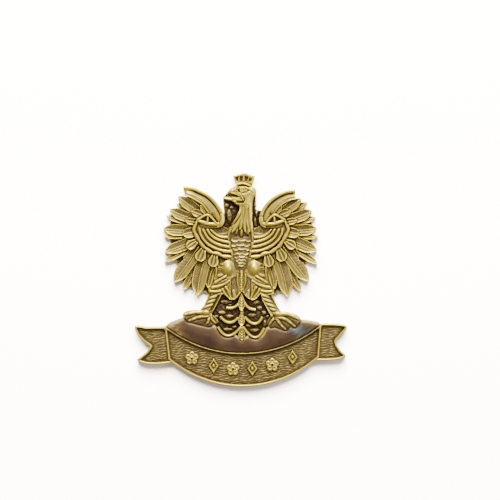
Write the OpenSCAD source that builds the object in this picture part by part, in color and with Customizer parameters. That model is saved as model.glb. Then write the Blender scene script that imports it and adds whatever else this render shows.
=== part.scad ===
// Cap badge: a crowned eagle standing on a mound over a forked scroll,
// built up in relief on a flat backing plate, with two pin posts and
// butterfly clutches behind it.
//
// Frame: the badge stands upright. +X is the viewer's right, +Z is up to the
// crown, the relief faces -Y and the posts stand out along +Y. The origin is
// the middle of the flat back face.

/* [Badge] */
// Width across the scroll's two forked ends
badge_w = 45; // [40:1:55]
// Thickness of the backing plate
plate_t = 1.0; // [0.9:0.1:1.5]
// Height of the wing ground above the plate
wing_t = 0.7; // [0.4:0.1:1]
// Height of each feather above the wing ground
feather_t = 0.4; // [0.2:0.1:0.8]
// Height of the scroll's and the mound's ground above the plate
scroll_t = 0.6; // [0.4:0.1:1]
// Height of the rims and ornaments above the scroll's ground
rim_t = 0.6; // [0.3:0.1:0.8]
// Width of the rims that edge the scroll
rim_w = 0.65; // [0.5:0.05:0.8]
// Height of the eagle's body above the plate
body_t = 1.7; // [1:0.1:2]

/* [Posts] */
// Distance of each post from the middle of the badge
post_x = 9.5; // [8.5:0.5:10.5]
// Height of both posts above the middle of the badge
post_z = 7; // [6:0.5:8]
// Radius of a post's shank, the standard badge pin
post_r = 0.55; // [0.5:0.01:0.58]
// Length of the plain shank, the thickest cap wall it takes
shank_l = 4.7; // [4:0.1:5]
// Full length of a post behind the back face
post_l = 9.6; // [9:0.1:11]

/* [Clutches] */
// Distance of a clutch's front face from the back face
clutch_y = 4.8; // [4.8:0.1:5]
// Radius of the clutch's flange
flange_r = 5.7; // [5:0.1:6]
// Radius of the hub's bore
hub_r = 2.6; // [2.6:0.1:3]
// Thickness of the hub's wall and the flange
sheet_t = 0.4; // [0.3:0.05:0.45]
// Height of the hub
hub_h = 3.4; // [3.2:0.1:4]
// Thickness of the spring
spring_t = 0.4; // [0.3:0.05:0.4]
// Width of the spring where it runs through the hub
spring_w = 2.4; // [2:0.1:2.4]

/* [Hidden] */
$fn = 48;

drawn_w = 45;                    // the width at which the outlines below are drawn
k = badge_w / drawn_w;
gilt = "#c9ad5f";
bronze = "#5a4330";
pin_brass = "#c8b06a";

// Levels, measured forward from the back face
wing_top = plate_t + wing_t;
feather_top = wing_top + feather_t;
covert_top = feather_top + 0.4;
band_top = feather_top + 0.6;
scroll_top = plate_t + scroll_t;
rim_top = scroll_top + rim_t;
mound_low = plate_t + 0.8;
mound_top = plate_t + 1.4;
leg_top = plate_t + 1.3;
tail_low = plate_t + 0.6;
tail_top = plate_t + 1.2;
body_low = plate_t + 1.2;
body_top = plate_t + body_t;
head_top = plate_t + 2.1;

// Wing feathers as [tip, root, width, sideways bend], from the wing's tip down
left_quills = [
    [[-11.6, 19.0], [-7.0, 15.0], 1.3, 0.2],
    [[-13.4, 17.8], [-8.2, 14.2], 2.3, 0.2],
    [[-15.2, 15.0], [-9.8, 12.9], 2.3, 0.2],
    [[-16.6, 10.9], [-10.1, 10.7], 2.5, 0.2],
    [[-16.3, 6.0], [-9.9, 8.4], 2.5, 0.1],
    [[-14.3, -0.5], [-9.6, 6.2], 3.0, 0.1],
    [[-9.3, -3.4], [-7.6, 4.6], 3.1, -0.3],
    [[-7.0, -1.8], [-6.0, 2.6], 1.5, -0.2]];
left_under_quills = [
    [[-13.7, 16.2], [-10.0, 14.2], 1.5, 0],
    [[-15.9, 13.6], [-11.0, 12.2], 1.5, 0],
    [[-16.4, 9.2], [-11.0, 9.6], 1.4, 0],
    [[-16.3, 3.8], [-10.6, 6.9], 1.6, -0.1],
    [[-12.3, -2.2], [-9.6, 2.2], 1.6, -0.1]];
right_quills = [
    [[11.3, 18.6], [6.6, 14.6], 1.3, -0.2],
    [[12.8, 17.3], [8.0, 14.3], 2.3, -0.2],
    [[15.1, 14.7], [9.8, 12.8], 2.4, -0.2],
    [[16.1, 11.0], [10.1, 10.6], 2.5, -0.2],
    [[16.2, 6.2], [10.0, 8.8], 2.6, -0.1],
    [[14.4, -0.3], [9.6, 6.2], 3.0, -0.1],
    [[9.9, -3.6], [7.8, 4.6], 3.2, 0.3],
    [[7.1, -2.0], [6.1, 2.6], 1.5, 0.2]];
right_under_quills = [
    [[14.1, 16.5], [10.4, 14.4], 1.5, 0],
    [[15.9, 13.3], [11.0, 12.0], 1.5, 0],
    [[16.5, 9.1], [11.0, 9.6], 1.4, 0],
    [[16.3, 3.3], [10.8, 6.8], 1.6, 0.1],
    [[12.7, -2.5], [9.8, 2.2], 1.6, 0.1]];
// Small covert feathers between the roundel's arc and the quills
coverts = [
    [[-10.2, 14.5], [-7.8, 13.9], 1.3, 0],
    [[-12.2, 12.3], [-9.5, 13.0], 1.5, 0],
    [[-12.4, 9.6], [-9.7, 10.5], 1.6, 0],
    [[-11.4, 6.6], [-8.7, 8.1], 1.7, 0],
    [[-9.3, 4.0], [-7.8, 6.5], 1.8, 0],
    [[-6.5, 2.7], [-5.5, 5.3], 1.7, 0]];
quill_steps = 8;

// Ground of each wing between its quills, as drawn on the left
wing_ground = [[-3.9, 13.3], [-5.0, 15.3], [-7.0, 17.4], [-9.5, 18.7], [-11.2, 18.9],
               [-12.0, 16.0], [-13.2, 14.6], [-13.6, 11.8], [-13.6, 9.0], [-12.8, 6.2],
               [-11.6, 3.0], [-10.0, 0.2], [-8.0, -0.8], [-6.3, -0.6], [-5.2, 2.8],
               [-2.0, 4.2], [-2.0, 10.5], [-4.0, 11.6]];
// Web of the backing plate that shows between the quills
wing_web = [[-11.0, 17.6], [-12.9, 15.6], [-14.6, 13.8], [-15.2, 11.4], [-15.2, 8.6],
            [-14.6, 5.6], [-14.0, 4.4], [-12.6, 0.2], [-11.4, -1.2], [-8.4, -2.4],
            [-7.0, -2.4], [-5.0, 2.0], [-6.0, 12.0]];
// Band along each wing's leading edge, outer edge down and inner edge back
left_band = [[-12.3, 20.0], [-10.4, 19.8], [-8.7, 19.1], [-7.0, 18.2], [-5.7, 17.0],
             [-4.6, 15.8], [-3.8, 14.5], [-3.5, 13.3], [-3.7, 12.2], [-4.4, 11.4],
             [-5.3, 11.2], [-6.2, 11.7], [-5.6, 12.2], [-4.8, 12.1], [-4.5, 12.7],
             [-4.5, 13.6], [-5.0, 14.8], [-6.0, 16.2], [-7.3, 17.4], [-9.0, 18.4],
             [-10.8, 18.8], [-12.2, 19.0]];
right_band = [[11.5, 19.3], [9.8, 19.1], [8.1, 18.4], [6.6, 17.4], [5.4, 16.2], [4.5, 15.0],
              [3.9, 13.8], [3.7, 12.7], [4.0, 11.9], [4.7, 11.3], [5.6, 11.2], [6.3, 11.7],
              [5.7, 12.1], [5.0, 12.0], [4.7, 12.6], [4.8, 13.6], [5.5, 15.0], [6.6, 16.4],
              [8.0, 17.4], [9.6, 18.1], [11.5, 18.4]];
// Scalloped arc below the roundel, as the middles of its lobes, with a lobe's radius
scallops = [[-9.9, 12.2], [-9.9, 10.6], [-9.2, 9.0], [-8.2, 7.5], [-6.9, 6.3], [-5.3, 5.6],
            [-3.5, 5.0]];
scallop_r = 0.9;
// The shoulder inside the arc
shoulder = [[-10.2, 12.6], [-9.4, 13.4], [-7.1, 14.1], [-5.4, 12.2], [-4.4, 10.8],
            [-2.0, 10.4], [-2.0, 5.0], [-4.0, 5.4], [-7.0, 6.8], [-9.0, 9.2], [-10.2, 11.2]];

body_outline = [[-2.6, 10.8], [2.4, 10.8], [2.7, 8.4], [2.3, 6.5], [2.1, 5.0], [3.2, 4.1],
                [4.5, 3.5], [5.5, 2.5], [6.1, 0.8], [6.7, -1.1], [7.0, -2.3], [6.7, -3.0],
                [4.9, -3.1], [4.1, -2.9], [3.4, -3.7], [2.6, -4.2], [1.6, -3.9], [0.8, -3.1],
                [0.2, -2.4], [-0.4, -3.1], [-0.9, -3.8], [-1.8, -4.2], [-2.7, -3.8],
                [-3.6, -3.0], [-4.4, -3.0], [-5.6, -3.0], [-6.6, -2.7], [-6.9, -2.2],
                [-6.7, -1.3], [-6.1, 0.6], [-5.5, 2.5], [-4.4, 3.5], [-3.1, 4.1], [-2.1, 5.0],
                [-2.3, 6.5], [-2.7, 8.4]];
chest = [[-2.1, 10.6], [2.0, 10.6], [2.3, 8.4], [1.9, 6.5], [1.6, 4.4], [1.4, 2.6],
         [-1.2, 2.6], [-1.6, 4.4], [-1.9, 6.5], [-2.3, 8.4]];
thigh_w = 2.6;
thigh_h = 3.4;
thighs = [[-2.6, 2.2], [2.8, 2.0]];

head_outline = [[-0.9, 19.9], [-1.7, 19.7], [-2.5, 19.2], [-3.0, 18.5], [-2.9, 17.9],
                [-2.4, 17.8], [-3.3, 17.7], [-3.9, 17.4], [-3.2, 17.0], [-1.9, 16.7],
                [-1.2, 16.1], [-0.4, 15.7], [-0.3, 15.0], [-0.8, 13.8], [-1.5, 12.5],
                [-2.2, 11.5], [-2.6, 10.8], [2.4, 10.8], [2.3, 12.5], [2.4, 15.0],
                [2.6, 17.2], [3.2, 18.2], [3.2, 19.1], [2.3, 19.9]];
face_outline = [[-0.7, 19.6], [-1.6, 19.3], [-2.4, 18.7], [-1.4, 18.2], [-0.4, 17.4],
                [0.4, 15.6], [0.1, 13.8], [-0.6, 12.4], [-1.4, 11.2], [1.8, 11.2],
                [1.9, 15.0], [2.2, 17.4], [2.7, 18.4], [2.6, 19.1], [2.0, 19.6]];
crown_outline = [[-0.9, 19.9], [2.3, 19.9], [2.6, 21.0], [2.95, 22.1], [2.2, 22.2],
                 [2.0, 22.55], [1.4, 22.4], [1.25, 22.8], [0.6, 22.6], [0.3, 22.8],
                 [-0.2, 22.45], [-0.7, 22.6], [-0.9, 22.2], [-1.7, 22.2], [-1.35, 21.0]];
crown_band = [[-0.8, 20.1], [2.2, 20.1], [2.35, 20.75], [-1.1, 20.75]];

// A leg's shank, a foot's ground and its toes, as drawn on each side
left_shank = [[-6.7, -2.7], [-4.0, -2.9], [-5.2, -5.3], [-6.3, -7.2], [-8.6, -7.2],
              [-8.9, -6.5], [-7.9, -5.4]];
left_foot = [[-8.9, -6.4], [-10.8, -6.4], [-12.2, -6.9], [-12.4, -7.7], [-11.4, -8.8],
             [-10.2, -9.1], [-8.4, -9.6], [-6.8, -9.9], [-5.8, -9.5], [-4.9, -9.0],
             [-5.1, -8.2], [-6.3, -7.2]];
left_toes = [[[-12.0, -7.3], [-7.7, -6.95], 0.95, -0.1], [[-10.9, -8.6], [-7.3, -7.4], 1.0, 0],
             [[-6.3, -9.4], [-7.1, -7.1], 0.9, 0.1], [[-5.3, -8.8], [-6.6, -7.5], 0.8, 0]];
right_shank = [[6.7, -3.0], [4.2, -3.0], [4.6, -4.4], [6.5, -7.8], [8.8, -7.8], [8.5, -6.7],
               [7.6, -5.2]];
right_foot = [[8.6, -6.7], [10.6, -6.9], [12.2, -7.6], [12.7, -8.4], [12.1, -9.6],
              [11.4, -10.2], [10.4, -9.9], [9.6, -10.7], [8.4, -10.4], [7.2, -10.0],
              [6.2, -10.1], [5.5, -9.2], [5.8, -8.3], [6.4, -7.6]];
right_toes = [[[12.3, -8.2], [7.9, -7.2], 0.95, 0.1], [[11.3, -9.8], [7.7, -7.6], 1.0, 0],
              [[9.4, -10.3], [7.5, -7.6], 1.0, 0], [[5.9, -9.2], [7.1, -7.9], 0.9, 0]];

// The tail's spine as a run of beads from the body down, and its curls on each side
spine = [[0.1, -2.6], [0.1, -6.6], [0.1, -9.8], [0.2, -12.8]];
spine_w = 1.5;
bead_w = 0.9;
bead_gap = 0.3;
spine_core = [[-0.25, -2.8], [0.45, -2.8], [0.55, -12.2], [-0.15, -12.2]];
curls = [
    [[-0.3, -4.6], [-1.2, -6.2], [-3.1, -5.8]], [[0.6, -4.5], [1.3, -6.2], [3.1, -6.2]],
    [[-0.6, -7.9], [-2.4, -10.1], [-4.4, -7.7]], [[0.8, -7.8], [3.2, -10.6], [4.5, -7.8]],
    [[-0.1, -10.0], [-3.0, -13.6], [-4.9, -9.9]], [[0.5, -10.0], [3.3, -14.2], [4.9, -10.1]]];
curl_w = 0.6;

// Mound: its upper edge; the scroll's top arc closes it below
mound_top_edge = [[-16.0, -9.7], [-15.0, -8.9], [-12.8, -8.1], [-11.2, -7.9], [-9.0, -8.4],
                  [-6.8, -9.0], [-5.2, -9.8], [-4.4, -10.9], [-3.0, -11.7], [-1.4, -11.4],
                  [0.2, -12.4], [1.8, -11.5], [3.3, -12.2], [4.6, -11.5], [5.2, -10.2],
                  [6.4, -9.6], [9.0, -9.4], [11.0, -8.8], [12.6, -8.3], [16.1, -8.8],
                  [16.7, -9.1]];
mound_crest = [[-13.6, -9.6], [-11.0, -9.9], [-6.6, -10.9], [-4.6, -12.2], [0.2, -13.5],
               [5.0, -12.6], [7.6, -11.0], [11.4, -10.6], [14.6, -9.6], [9.0, -12.7],
               [4.0, -14.2], [-3.0, -14.4], [-8.0, -13.1]];

// Scroll: the two arcs as [centre, radius], and the panel's ends
top_arc = [[0.2, 10.85], 26.25];
low_arc = [[0.3, 1.6], 24.15];
panel_l = [-16.2, -15.4];        // upper and lower x of the panel's left end
panel_r = [17.05, 16.5];
panel_post = 1.05;               // width of the upright rims at the panel's two ends
arc_steps = 16;
mound_r = 16.7;                  // x of the mound's two ends
mound_l = -16.0;
mound_under = 0.6;               // how far the mound is drawn under the panel before the cut
left_fork = [[-16.2, -9.85], [-20.0, -9.9], [-21.8, -9.6], [-22.5, -9.7], [-22.5, -10.4],
             [-21.9, -11.6], [-20.6, -13.0], [-19.2, -14.0], [-19.9, -15.1], [-21.1, -16.1],
             [-22.1, -16.8], [-21.6, -17.3], [-20.0, -17.75], [-18.0, -17.85],
             [-16.2, -17.7], [-14.7, -17.45], [-14.8, -12.0]];
left_fork_field = [[-16.0, -10.6], [-21.2, -10.5], [-20.3, -11.9], [-18.3, -13.7],
                   [-18.9, -15.2], [-20.4, -16.8], [-18.0, -17.2], [-16.0, -17.1]];
right_fork = [[16.9, -9.15], [20.0, -9.2], [21.8, -9.4], [22.5, -9.75], [22.3, -10.4],
              [21.2, -11.6], [20.1, -12.9], [20.3, -13.7], [21.1, -14.9], [22.25, -15.9],
              [21.8, -16.4], [20.4, -16.85], [18.2, -17.0], [15.8, -17.0], [15.9, -12.0]];
right_fork_field = [[17.2, -9.9], [21.4, -10.0], [20.4, -11.4], [19.0, -12.8], [19.4, -14.2],
                    [20.9, -15.9], [19.0, -16.35], [16.8, -16.3]];

// Six ornaments that stand on the scroll, as [x, z]
ornaments = [[-10.4, -16.5], [-5.8, -18.1], [-1.7, -18.8], [2.4, -18.7], [6.6, -17.9],
             [10.9, -16.3]];
petals = 5;
petal_r = 0.62;
petal_orbit = 0.85;
lozenge_w = 1.15;
lozenge_h = 1.65;

// Webs of the plate beside the neck and around the legs and tail
neck_web = [[-3.9, 17.5], [-3.0, 18.5], [2.4, 19.5], [3.2, 19.0], [3.25, 15.0],
            [4.2, 14.8], [4.6, 10.0], [-4.6, 10.0], [-3.6, 14.0]];
leg_web = [[-7.2, -1.6], [7.3, -1.6], [7.9, -2.6], [6.8, -3.2], [7.4, -7.6], [6.4, -10.0],
           [4.9, -11.2], [3.4, -13.2], [-3.0, -13.2], [-4.8, -11.0], [-6.4, -9.4],
           [-7.4, -7.0], [-6.7, -3.0], [-7.7, -2.4]];

cut = 1;                         // how far a cutting shape runs past what it cuts

// Post: foot in a pocket of the plate, shank, waist that the jaws grip, nose and point
foot_r = 1.5;
foot_t = 0.6;
waist_r = 0.38;
waist_l = 2.2;
nose_end = 8.2;
point_r = 0.08;

// Clutch, measured back from its front face
lip_r = 2.3;
lip_t = 0.15;
washer_r = hub_r - 0.05;
washer_hole_r = post_r + 0.07;
washer_y = 0.2;
cap_hole_r = 0.75;
window_w = 3.0;
window_y = [0.8, 2.6];
jaw_y = [1.1, 1.6];              // front faces of the top and the bottom spring
grip = post_r + 0.03;            // from the axis to a jaw's gripping edge
relief_z = 1.3;                  // from the axis to the hole's other end
jaw_end = 1.6;
hole_half = 0.8;
ear_in = 3.75;                   // where the ear begins, from the axis
ear_w = 3.6;
knee = 4.1;                      // where a spring turns back
ear_out = 4.9;
ear_back = 4.6;
knee_cut = 0.5;                  // bevel outside the bend; the ear is as thick there
knee_rise = 0.4;
ear_t = 0.45;

// ---- shapes in the plane of the badge ----

function unit(v) = v / norm(v);
function side(v) = [-v[1], v[0]];

// A pointed leaf from root to tip: widest past its middle, bent sideways by bend
function leaf_half(t, w) = w / 2 * pow(max(0, sin(180 * pow(t, 1.35))), 0.8);
function leaf_mid(f, t) =
    f[1] + (f[0] - f[1]) * t + side(unit(f[0] - f[1])) * f[3] * 4 * t * (1 - t);
function leaf_pts(f, n = quill_steps) = let (s = side(unit(f[0] - f[1]))) concat(
    [for (i = [0 : n]) leaf_mid(f, i / n) + s * leaf_half(i / n, f[2])],
    [for (i = [n - 1 : -1 : 1]) leaf_mid(f, i / n) - s * leaf_half(i / n, f[2])]);
module leaf(f) { polygon(leaf_pts(f)); }
module leaves(list) { for (f = list) leaf(f); }

// A strip of even width along a bent line through three control points
function bend_at(c, t) = c[0] * pow(1 - t, 2) + c[1] * 2 * t * (1 - t) + c[2] * pow(t, 2);
function bend_dir(c, t) = unit((c[1] - c[0]) * (1 - t) + (c[2] - c[1]) * t);
module strip(c, w, n = 8) {
    polygon(concat(
        [for (i = [0 : n]) bend_at(c, i / n) + side(bend_dir(c, i / n)) * w / 2],
        [for (i = [n : -1 : 0]) bend_at(c, i / n) - side(bend_dir(c, i / n)) * w / 2]));
}

// Height of an arc of the scroll at x
function arc_z(a, x) = a[0][1] - sqrt(pow(a[1], 2) - pow(x - a[0][0], 2));
function arc_pts(a, x0, x1, n = arc_steps) =
    [for (i = [0 : n]) let (x = x0 + (x1 - x0) * i / n) [x, arc_z(a, x)]];

module flip(side) { mirror([side > 0 ? 1 : 0, 0]) children(); }

module band_2d(side) { polygon(side > 0 ? right_band : left_band); }
module wing_2d(side) {
    leaves(side > 0 ? right_quills : left_quills);
    leaves(side > 0 ? right_under_quills : left_under_quills);
    flip(side) polygon(wing_ground);
    band_2d(side);
}
module body_2d() { polygon(body_outline); }
module head_2d() { polygon(head_outline); }
module crown_2d() { polygon(crown_outline); }
module panel_2d() {
    polygon(concat(arc_pts(top_arc, panel_l[0], panel_r[0]),
                   arc_pts(low_arc, panel_r[1], panel_l[1])));
}
module panel_field_2d() {
    polygon(concat(
        arc_pts([top_arc[0], top_arc[1] + rim_w], panel_l[0] + panel_post, panel_r[0] - panel_post),
        arc_pts([low_arc[0], low_arc[1] - rim_w], panel_r[1] - rim_w, panel_l[1] + rim_w)));
}
module shank_2d(side) { polygon(side > 0 ? right_shank : left_shank); }
module foot_2d(side) { polygon(side > 0 ? right_foot : left_foot); }
module leg_2d(side) {
    difference() {
        union() {
            shank_2d(side);
            foot_2d(side);
        }
        body_2d();
    }
}
module tail_2d() {
    for (i = [0 : len(spine) - 2]) leaf([spine[i + 1], spine[i], spine_w, 0]);
    polygon(spine_core);
    for (c = curls) strip(c, curl_w);
}
module tail_only_2d() {
    difference() {
        tail_2d();
        body_2d();
        leg_2d(-1);
        leg_2d(1);
        panel_2d();
    }
}
module mound_ground_2d() {
    polygon(concat(mound_top_edge,
                   arc_pts([top_arc[0], top_arc[1] + mound_under], mound_r, mound_l)));
}
module mound_2d() {
    difference() {
        mound_ground_2d();
        leg_2d(-1);
        leg_2d(1);
        tail_2d();
        panel_2d();
    }
}

// ---- solids ----

// Raises an outline from one level in front of the back face to another
module raise(low, high) {
    rotate([90, 0, 0]) translate([0, 0, low]) linear_extrude(height = high - low)
        children();
}
module raise_each(low, high) {
    for (i = [0 : $children - 1]) raise(low, high) children(i);
}
// Puts a turned part behind the badge, its axis along +Y
module behind(x, y) { translate([x, y, post_z]) rotate([-90, 0, 0]) children(); }

module backing_plate() {
    color(bronze) difference() {
        scale([k, 1, k]) raise_each(0, plate_t) {
            wing_2d(-1);
            wing_2d(1);
            polygon(wing_web);
            flip(1) polygon(wing_web);
            body_2d();
            head_2d();
            crown_2d();
            polygon(neck_web);
            leg_2d(-1);
            leg_2d(1);
            polygon(leg_web);
            mound_ground_2d();
            panel_2d();
            polygon(left_fork);
            polygon(right_fork);
        }
        for (x = [-post_x, post_x]) behind(x, -foot_t) cylinder(r = foot_r, h = foot_t + cut);
    }
}

module wing(side) {
    color(gilt) difference() {
        scale([k, 1, k]) union() {
            raise(plate_t, wing_top) wing_2d(side);
            raise(wing_top, feather_top) leaves(side > 0 ? right_quills : left_quills);
            raise(wing_top, covert_top) {
                flip(side) leaves(coverts);
                flip(side) polygon(shoulder);
                flip(side) for (p = scallops) translate(p) circle(r = scallop_r);
            }
            raise(wing_top, band_top) band_2d(side);
        }
        scale([k, 1, k]) raise(plate_t - cut, band_top + cut) {
            body_2d();
            head_2d();
        }
    }
}

module torso() {
    color(gilt) scale([k, 1, k]) {
        raise(plate_t, body_low) body_2d();
        raise(body_low, body_top) {
            polygon(chest);
            for (p = thighs) translate(p) leaf([[0, -thigh_h / 2], [0, thigh_h / 2], thigh_w, 0]);
        }
    }
}

module head() {
    color(gilt) scale([k, 1, k]) {
        raise(plate_t, body_low) head_2d();
        raise(body_low, head_top) polygon(face_outline);
    }
}

module crown() {
    color(gilt) scale([k, 1, k]) {
        raise(plate_t, body_low) crown_2d();
        raise(body_low, body_top) polygon(crown_band);
    }
}

module leg(side) {
    color(gilt) scale([k, 1, k]) {
        raise(plate_t, mound_low) leg_2d(side);
        raise(mound_low, leg_top) difference() {
            union() {
                shank_2d(side);
                leaves(side > 0 ? right_toes : left_toes);
            }
            body_2d();
        }
    }
}

module tail() {
    color(gilt) scale([k, 1, k]) {
        raise(plate_t, tail_low) tail_only_2d();
        raise(tail_low, tail_top) difference() {
            for (i = [0 : len(spine) - 2])
                leaf([spine[i + 1] + [0, bead_gap], spine[i] - [0, bead_gap], bead_w, 0]);
            body_2d();
        }
    }
}

module mound() {
    color(bronze) scale([k, 1, k]) {
        raise(plate_t, mound_low) mound_2d();
        raise(mound_low, mound_top) difference() {
            polygon(mound_crest);
            tail_2d();
            panel_2d();
        }
    }
}

module scroll_panel() {
    color(gilt) scale([k, 1, k]) {
        raise(plate_t, scroll_top) panel_2d();
        raise(scroll_top, rim_top) difference() {
            panel_2d();
            panel_field_2d();
        }
    }
}

module fork(outline, field) {
    color(gilt) scale([k, 1, k]) difference() {
        union() {
            raise(plate_t, scroll_top) polygon(outline);
            raise(scroll_top, rim_top) difference() {
                polygon(outline);
                polygon(field);
            }
        }
        raise(plate_t - cut, rim_top + cut) panel_2d();
    }
}

module rosette() {
    circle(r = petal_r);
    for (i = [0 : petals - 1]) rotate(90 + i * 360 / petals)
        translate([petal_orbit, 0]) circle(r = petal_r);
}
module lozenge() {
    polygon([[-lozenge_w, 0], [0, -lozenge_h], [lozenge_w, 0], [0, lozenge_h]]);
}
module scroll_ornaments() {
    color(gilt) scale([k, 1, k]) raise(scroll_top, rim_top)
        for (i = [0 : len(ornaments) - 1]) translate(ornaments[i])
            if (i % 2 == 0) rosette();
            else lozenge();
}

module post(side) {
    color(pin_brass) behind(side * post_x, -foot_t) rotate_extrude() polygon([
        [0, 0], [foot_r, 0], [foot_r, foot_t], [post_r, foot_t], [post_r, foot_t + shank_l],
        [waist_r, foot_t + shank_l], [waist_r, foot_t + shank_l + waist_l],
        [post_r, foot_t + shank_l + waist_l], [post_r, foot_t + nose_end],
        [point_r, foot_t + post_l], [0, foot_t + post_l]]);
}

module clutch_washer(side) {
    color(pin_brass) behind(side * post_x, clutch_y + washer_y) difference() {
        cylinder(r = washer_r, h = sheet_t);
        translate([0, 0, -cut]) cylinder(r = washer_hole_r, h = sheet_t + 2 * cut);
    }
}

module clutch_base(side) {
    color(pin_brass) behind(side * post_x, clutch_y) difference() {
        rotate_extrude() polygon([
            [lip_r, 0], [flange_r, 0], [flange_r, sheet_t], [hub_r + sheet_t, sheet_t],
            [hub_r + sheet_t, hub_h], [cap_hole_r, hub_h], [cap_hole_r, hub_h - sheet_t],
            [hub_r, hub_h - sheet_t], [hub_r, lip_t], [lip_r, lip_t]]);
        translate([-window_w / 2, -hub_r - cut, window_y[0]])
            cube([window_w, 2 * (hub_r + cut), window_y[1] - window_y[0]]);
    }
}

// One half of the spring: a strip with the gripping hole, turned back into a wide ear.
// up is 1 for the half whose ear is on top and -1 for the other one.
module clutch_spring(side, up) {
    front = up > 0 ? jaw_y[0] : jaw_y[1];
    back = front + spring_t;
    color(pin_brass) behind(side * post_x, clutch_y) mirror([0, up > 0 ? 1 : 0, 0]) difference() {
        union() {
            slab(spring_w) polygon([[-jaw_end, front], [ear_in, front], [ear_in, back],
                                    [-jaw_end, back]]);
            slab(ear_w) polygon([[ear_in, front], [knee, front],
                                 [knee + knee_cut, front + knee_cut],
                                 [ear_out, ear_back], [ear_out - ear_t, ear_back],
                                 [knee, back + knee_rise], [ear_in, back]]);
        }
        translate([-hole_half, -grip, front - cut])
            cube([2 * hole_half, grip + relief_z, spring_t + 2 * cut]);
    }
}

// Extrudes an outline in the plane of the post's axis to an even width
module slab(w) {
    translate([-w / 2, 0, 0]) rotate([90, 0, 90]) linear_extrude(height = w) children();
}

backing_plate();
wing(-1);  // left_wing
wing(1);  // right_wing
torso();
head();
crown();
leg(-1);  // left_leg
leg(1);  // right_leg
tail();
mound();
scroll_panel();
fork(left_fork, left_fork_field);  // left_scroll_tail
fork(right_fork, right_fork_field);  // right_scroll_tail
scroll_ornaments();
post(-1);  // left_post
post(1);  // right_post
clutch_washer(-1);  // left_clutch_washer
clutch_base(-1);  // left_clutch_base
clutch_spring(-1, 1);  // left_top_spring
clutch_spring(-1, -1);  // left_bottom_spring
clutch_washer(1);  // right_clutch_washer
clutch_base(1);  // right_clutch_base
clutch_spring(1, 1);  // right_top_spring
clutch_spring(1, -1);  // right_bottom_spring
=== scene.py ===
"""The looks of the cap badge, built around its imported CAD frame.

A struck or cast badge has no undercuts, so every piece of its front is a height field: a grid of
points in the plane of the badge, each with its height in front of the back face. Outlines and
heights are in millimetres as drawn on a badge 45 mm wide, x to the viewer's right and z up.
"""

import math

import bpy
import numpy as np
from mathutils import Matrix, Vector
from mathutils.geometry import tessellate_polygon


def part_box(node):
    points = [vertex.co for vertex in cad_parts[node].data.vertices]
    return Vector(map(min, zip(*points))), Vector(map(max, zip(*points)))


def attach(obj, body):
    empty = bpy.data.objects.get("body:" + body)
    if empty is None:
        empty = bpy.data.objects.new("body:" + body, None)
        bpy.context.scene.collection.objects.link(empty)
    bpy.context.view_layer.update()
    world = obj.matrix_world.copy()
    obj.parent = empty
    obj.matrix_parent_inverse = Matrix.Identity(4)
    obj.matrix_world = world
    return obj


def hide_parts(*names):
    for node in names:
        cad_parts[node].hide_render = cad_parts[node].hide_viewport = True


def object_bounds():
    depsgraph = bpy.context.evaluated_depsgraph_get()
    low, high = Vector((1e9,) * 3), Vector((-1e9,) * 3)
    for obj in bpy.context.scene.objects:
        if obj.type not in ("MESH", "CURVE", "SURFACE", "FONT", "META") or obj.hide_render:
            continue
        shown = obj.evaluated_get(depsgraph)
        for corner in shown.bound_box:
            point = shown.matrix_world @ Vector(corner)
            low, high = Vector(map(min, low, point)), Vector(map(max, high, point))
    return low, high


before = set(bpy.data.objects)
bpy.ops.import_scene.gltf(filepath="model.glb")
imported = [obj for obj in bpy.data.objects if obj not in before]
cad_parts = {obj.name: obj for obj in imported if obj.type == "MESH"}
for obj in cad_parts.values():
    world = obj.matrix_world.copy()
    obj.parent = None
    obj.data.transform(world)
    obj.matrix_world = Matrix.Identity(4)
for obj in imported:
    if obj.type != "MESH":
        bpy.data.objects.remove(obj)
CAD_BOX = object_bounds()


# ---- sizes from the frame ----

DRAWN_WIDTH = 45.0
MM = (CAD_BOX[1][0] - CAD_BOX[0][0]) / DRAWN_WIDTH


def front_of(node):
    """Height of a CAD node's front above the back face, in drawn millimetres."""
    return -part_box(node)[0].y / MM


PLATE = front_of("backing_plate")
WING = front_of("left_wing")
BODY = front_of("torso")
HEAD = front_of("head")
LEG = front_of("left_leg")
TAIL = front_of("tail")
MOUND = front_of("mound")
SCROLL = front_of("scroll_panel")
CELL = 0.07         # spacing of the height fields' points
MOUND_UNDER = 0.6   # how far the mound runs on under the scroll
POCKET_SIDES = 48
LEAST_RELIEF = 0.05
EVERYWHERE = (slice(None), slice(None))
AS_DRAWN = -1       # the side that outlines are drawn on


# ---- outlines ----

# Quills as (tip, root, width, sideways bend), from each wing's top down
QUILLS = {
    -1: [((-11.6, 19.0), (-7.0, 15.0), 1.3, 0.2), ((-13.4, 17.8), (-8.2, 14.2), 2.3, 0.2),
         ((-15.2, 15.0), (-9.8, 12.9), 2.3, 0.2), ((-16.6, 10.9), (-10.1, 10.7), 2.5, 0.2),
         ((-16.3, 6.0), (-9.9, 8.4), 2.5, 0.1), ((-14.3, -0.5), (-9.6, 6.2), 3.0, 0.1),
         ((-9.3, -3.4), (-7.6, 4.6), 3.1, -0.3), ((-7.0, -1.8), (-6.0, 2.6), 1.5, -0.2)],
    1: [((11.3, 18.6), (6.6, 14.6), 1.3, -0.2), ((12.8, 17.3), (8.0, 14.3), 2.3, -0.2),
        ((15.1, 14.7), (9.8, 12.8), 2.4, -0.2), ((16.1, 11.0), (10.1, 10.6), 2.5, -0.2),
        ((16.2, 6.2), (10.0, 8.8), 2.6, -0.1), ((14.4, -0.3), (9.6, 6.2), 3.0, -0.1),
        ((9.9, -3.6), (7.8, 4.6), 3.2, 0.3), ((7.1, -2.0), (6.1, 2.6), 1.5, 0.2)]}
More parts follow.
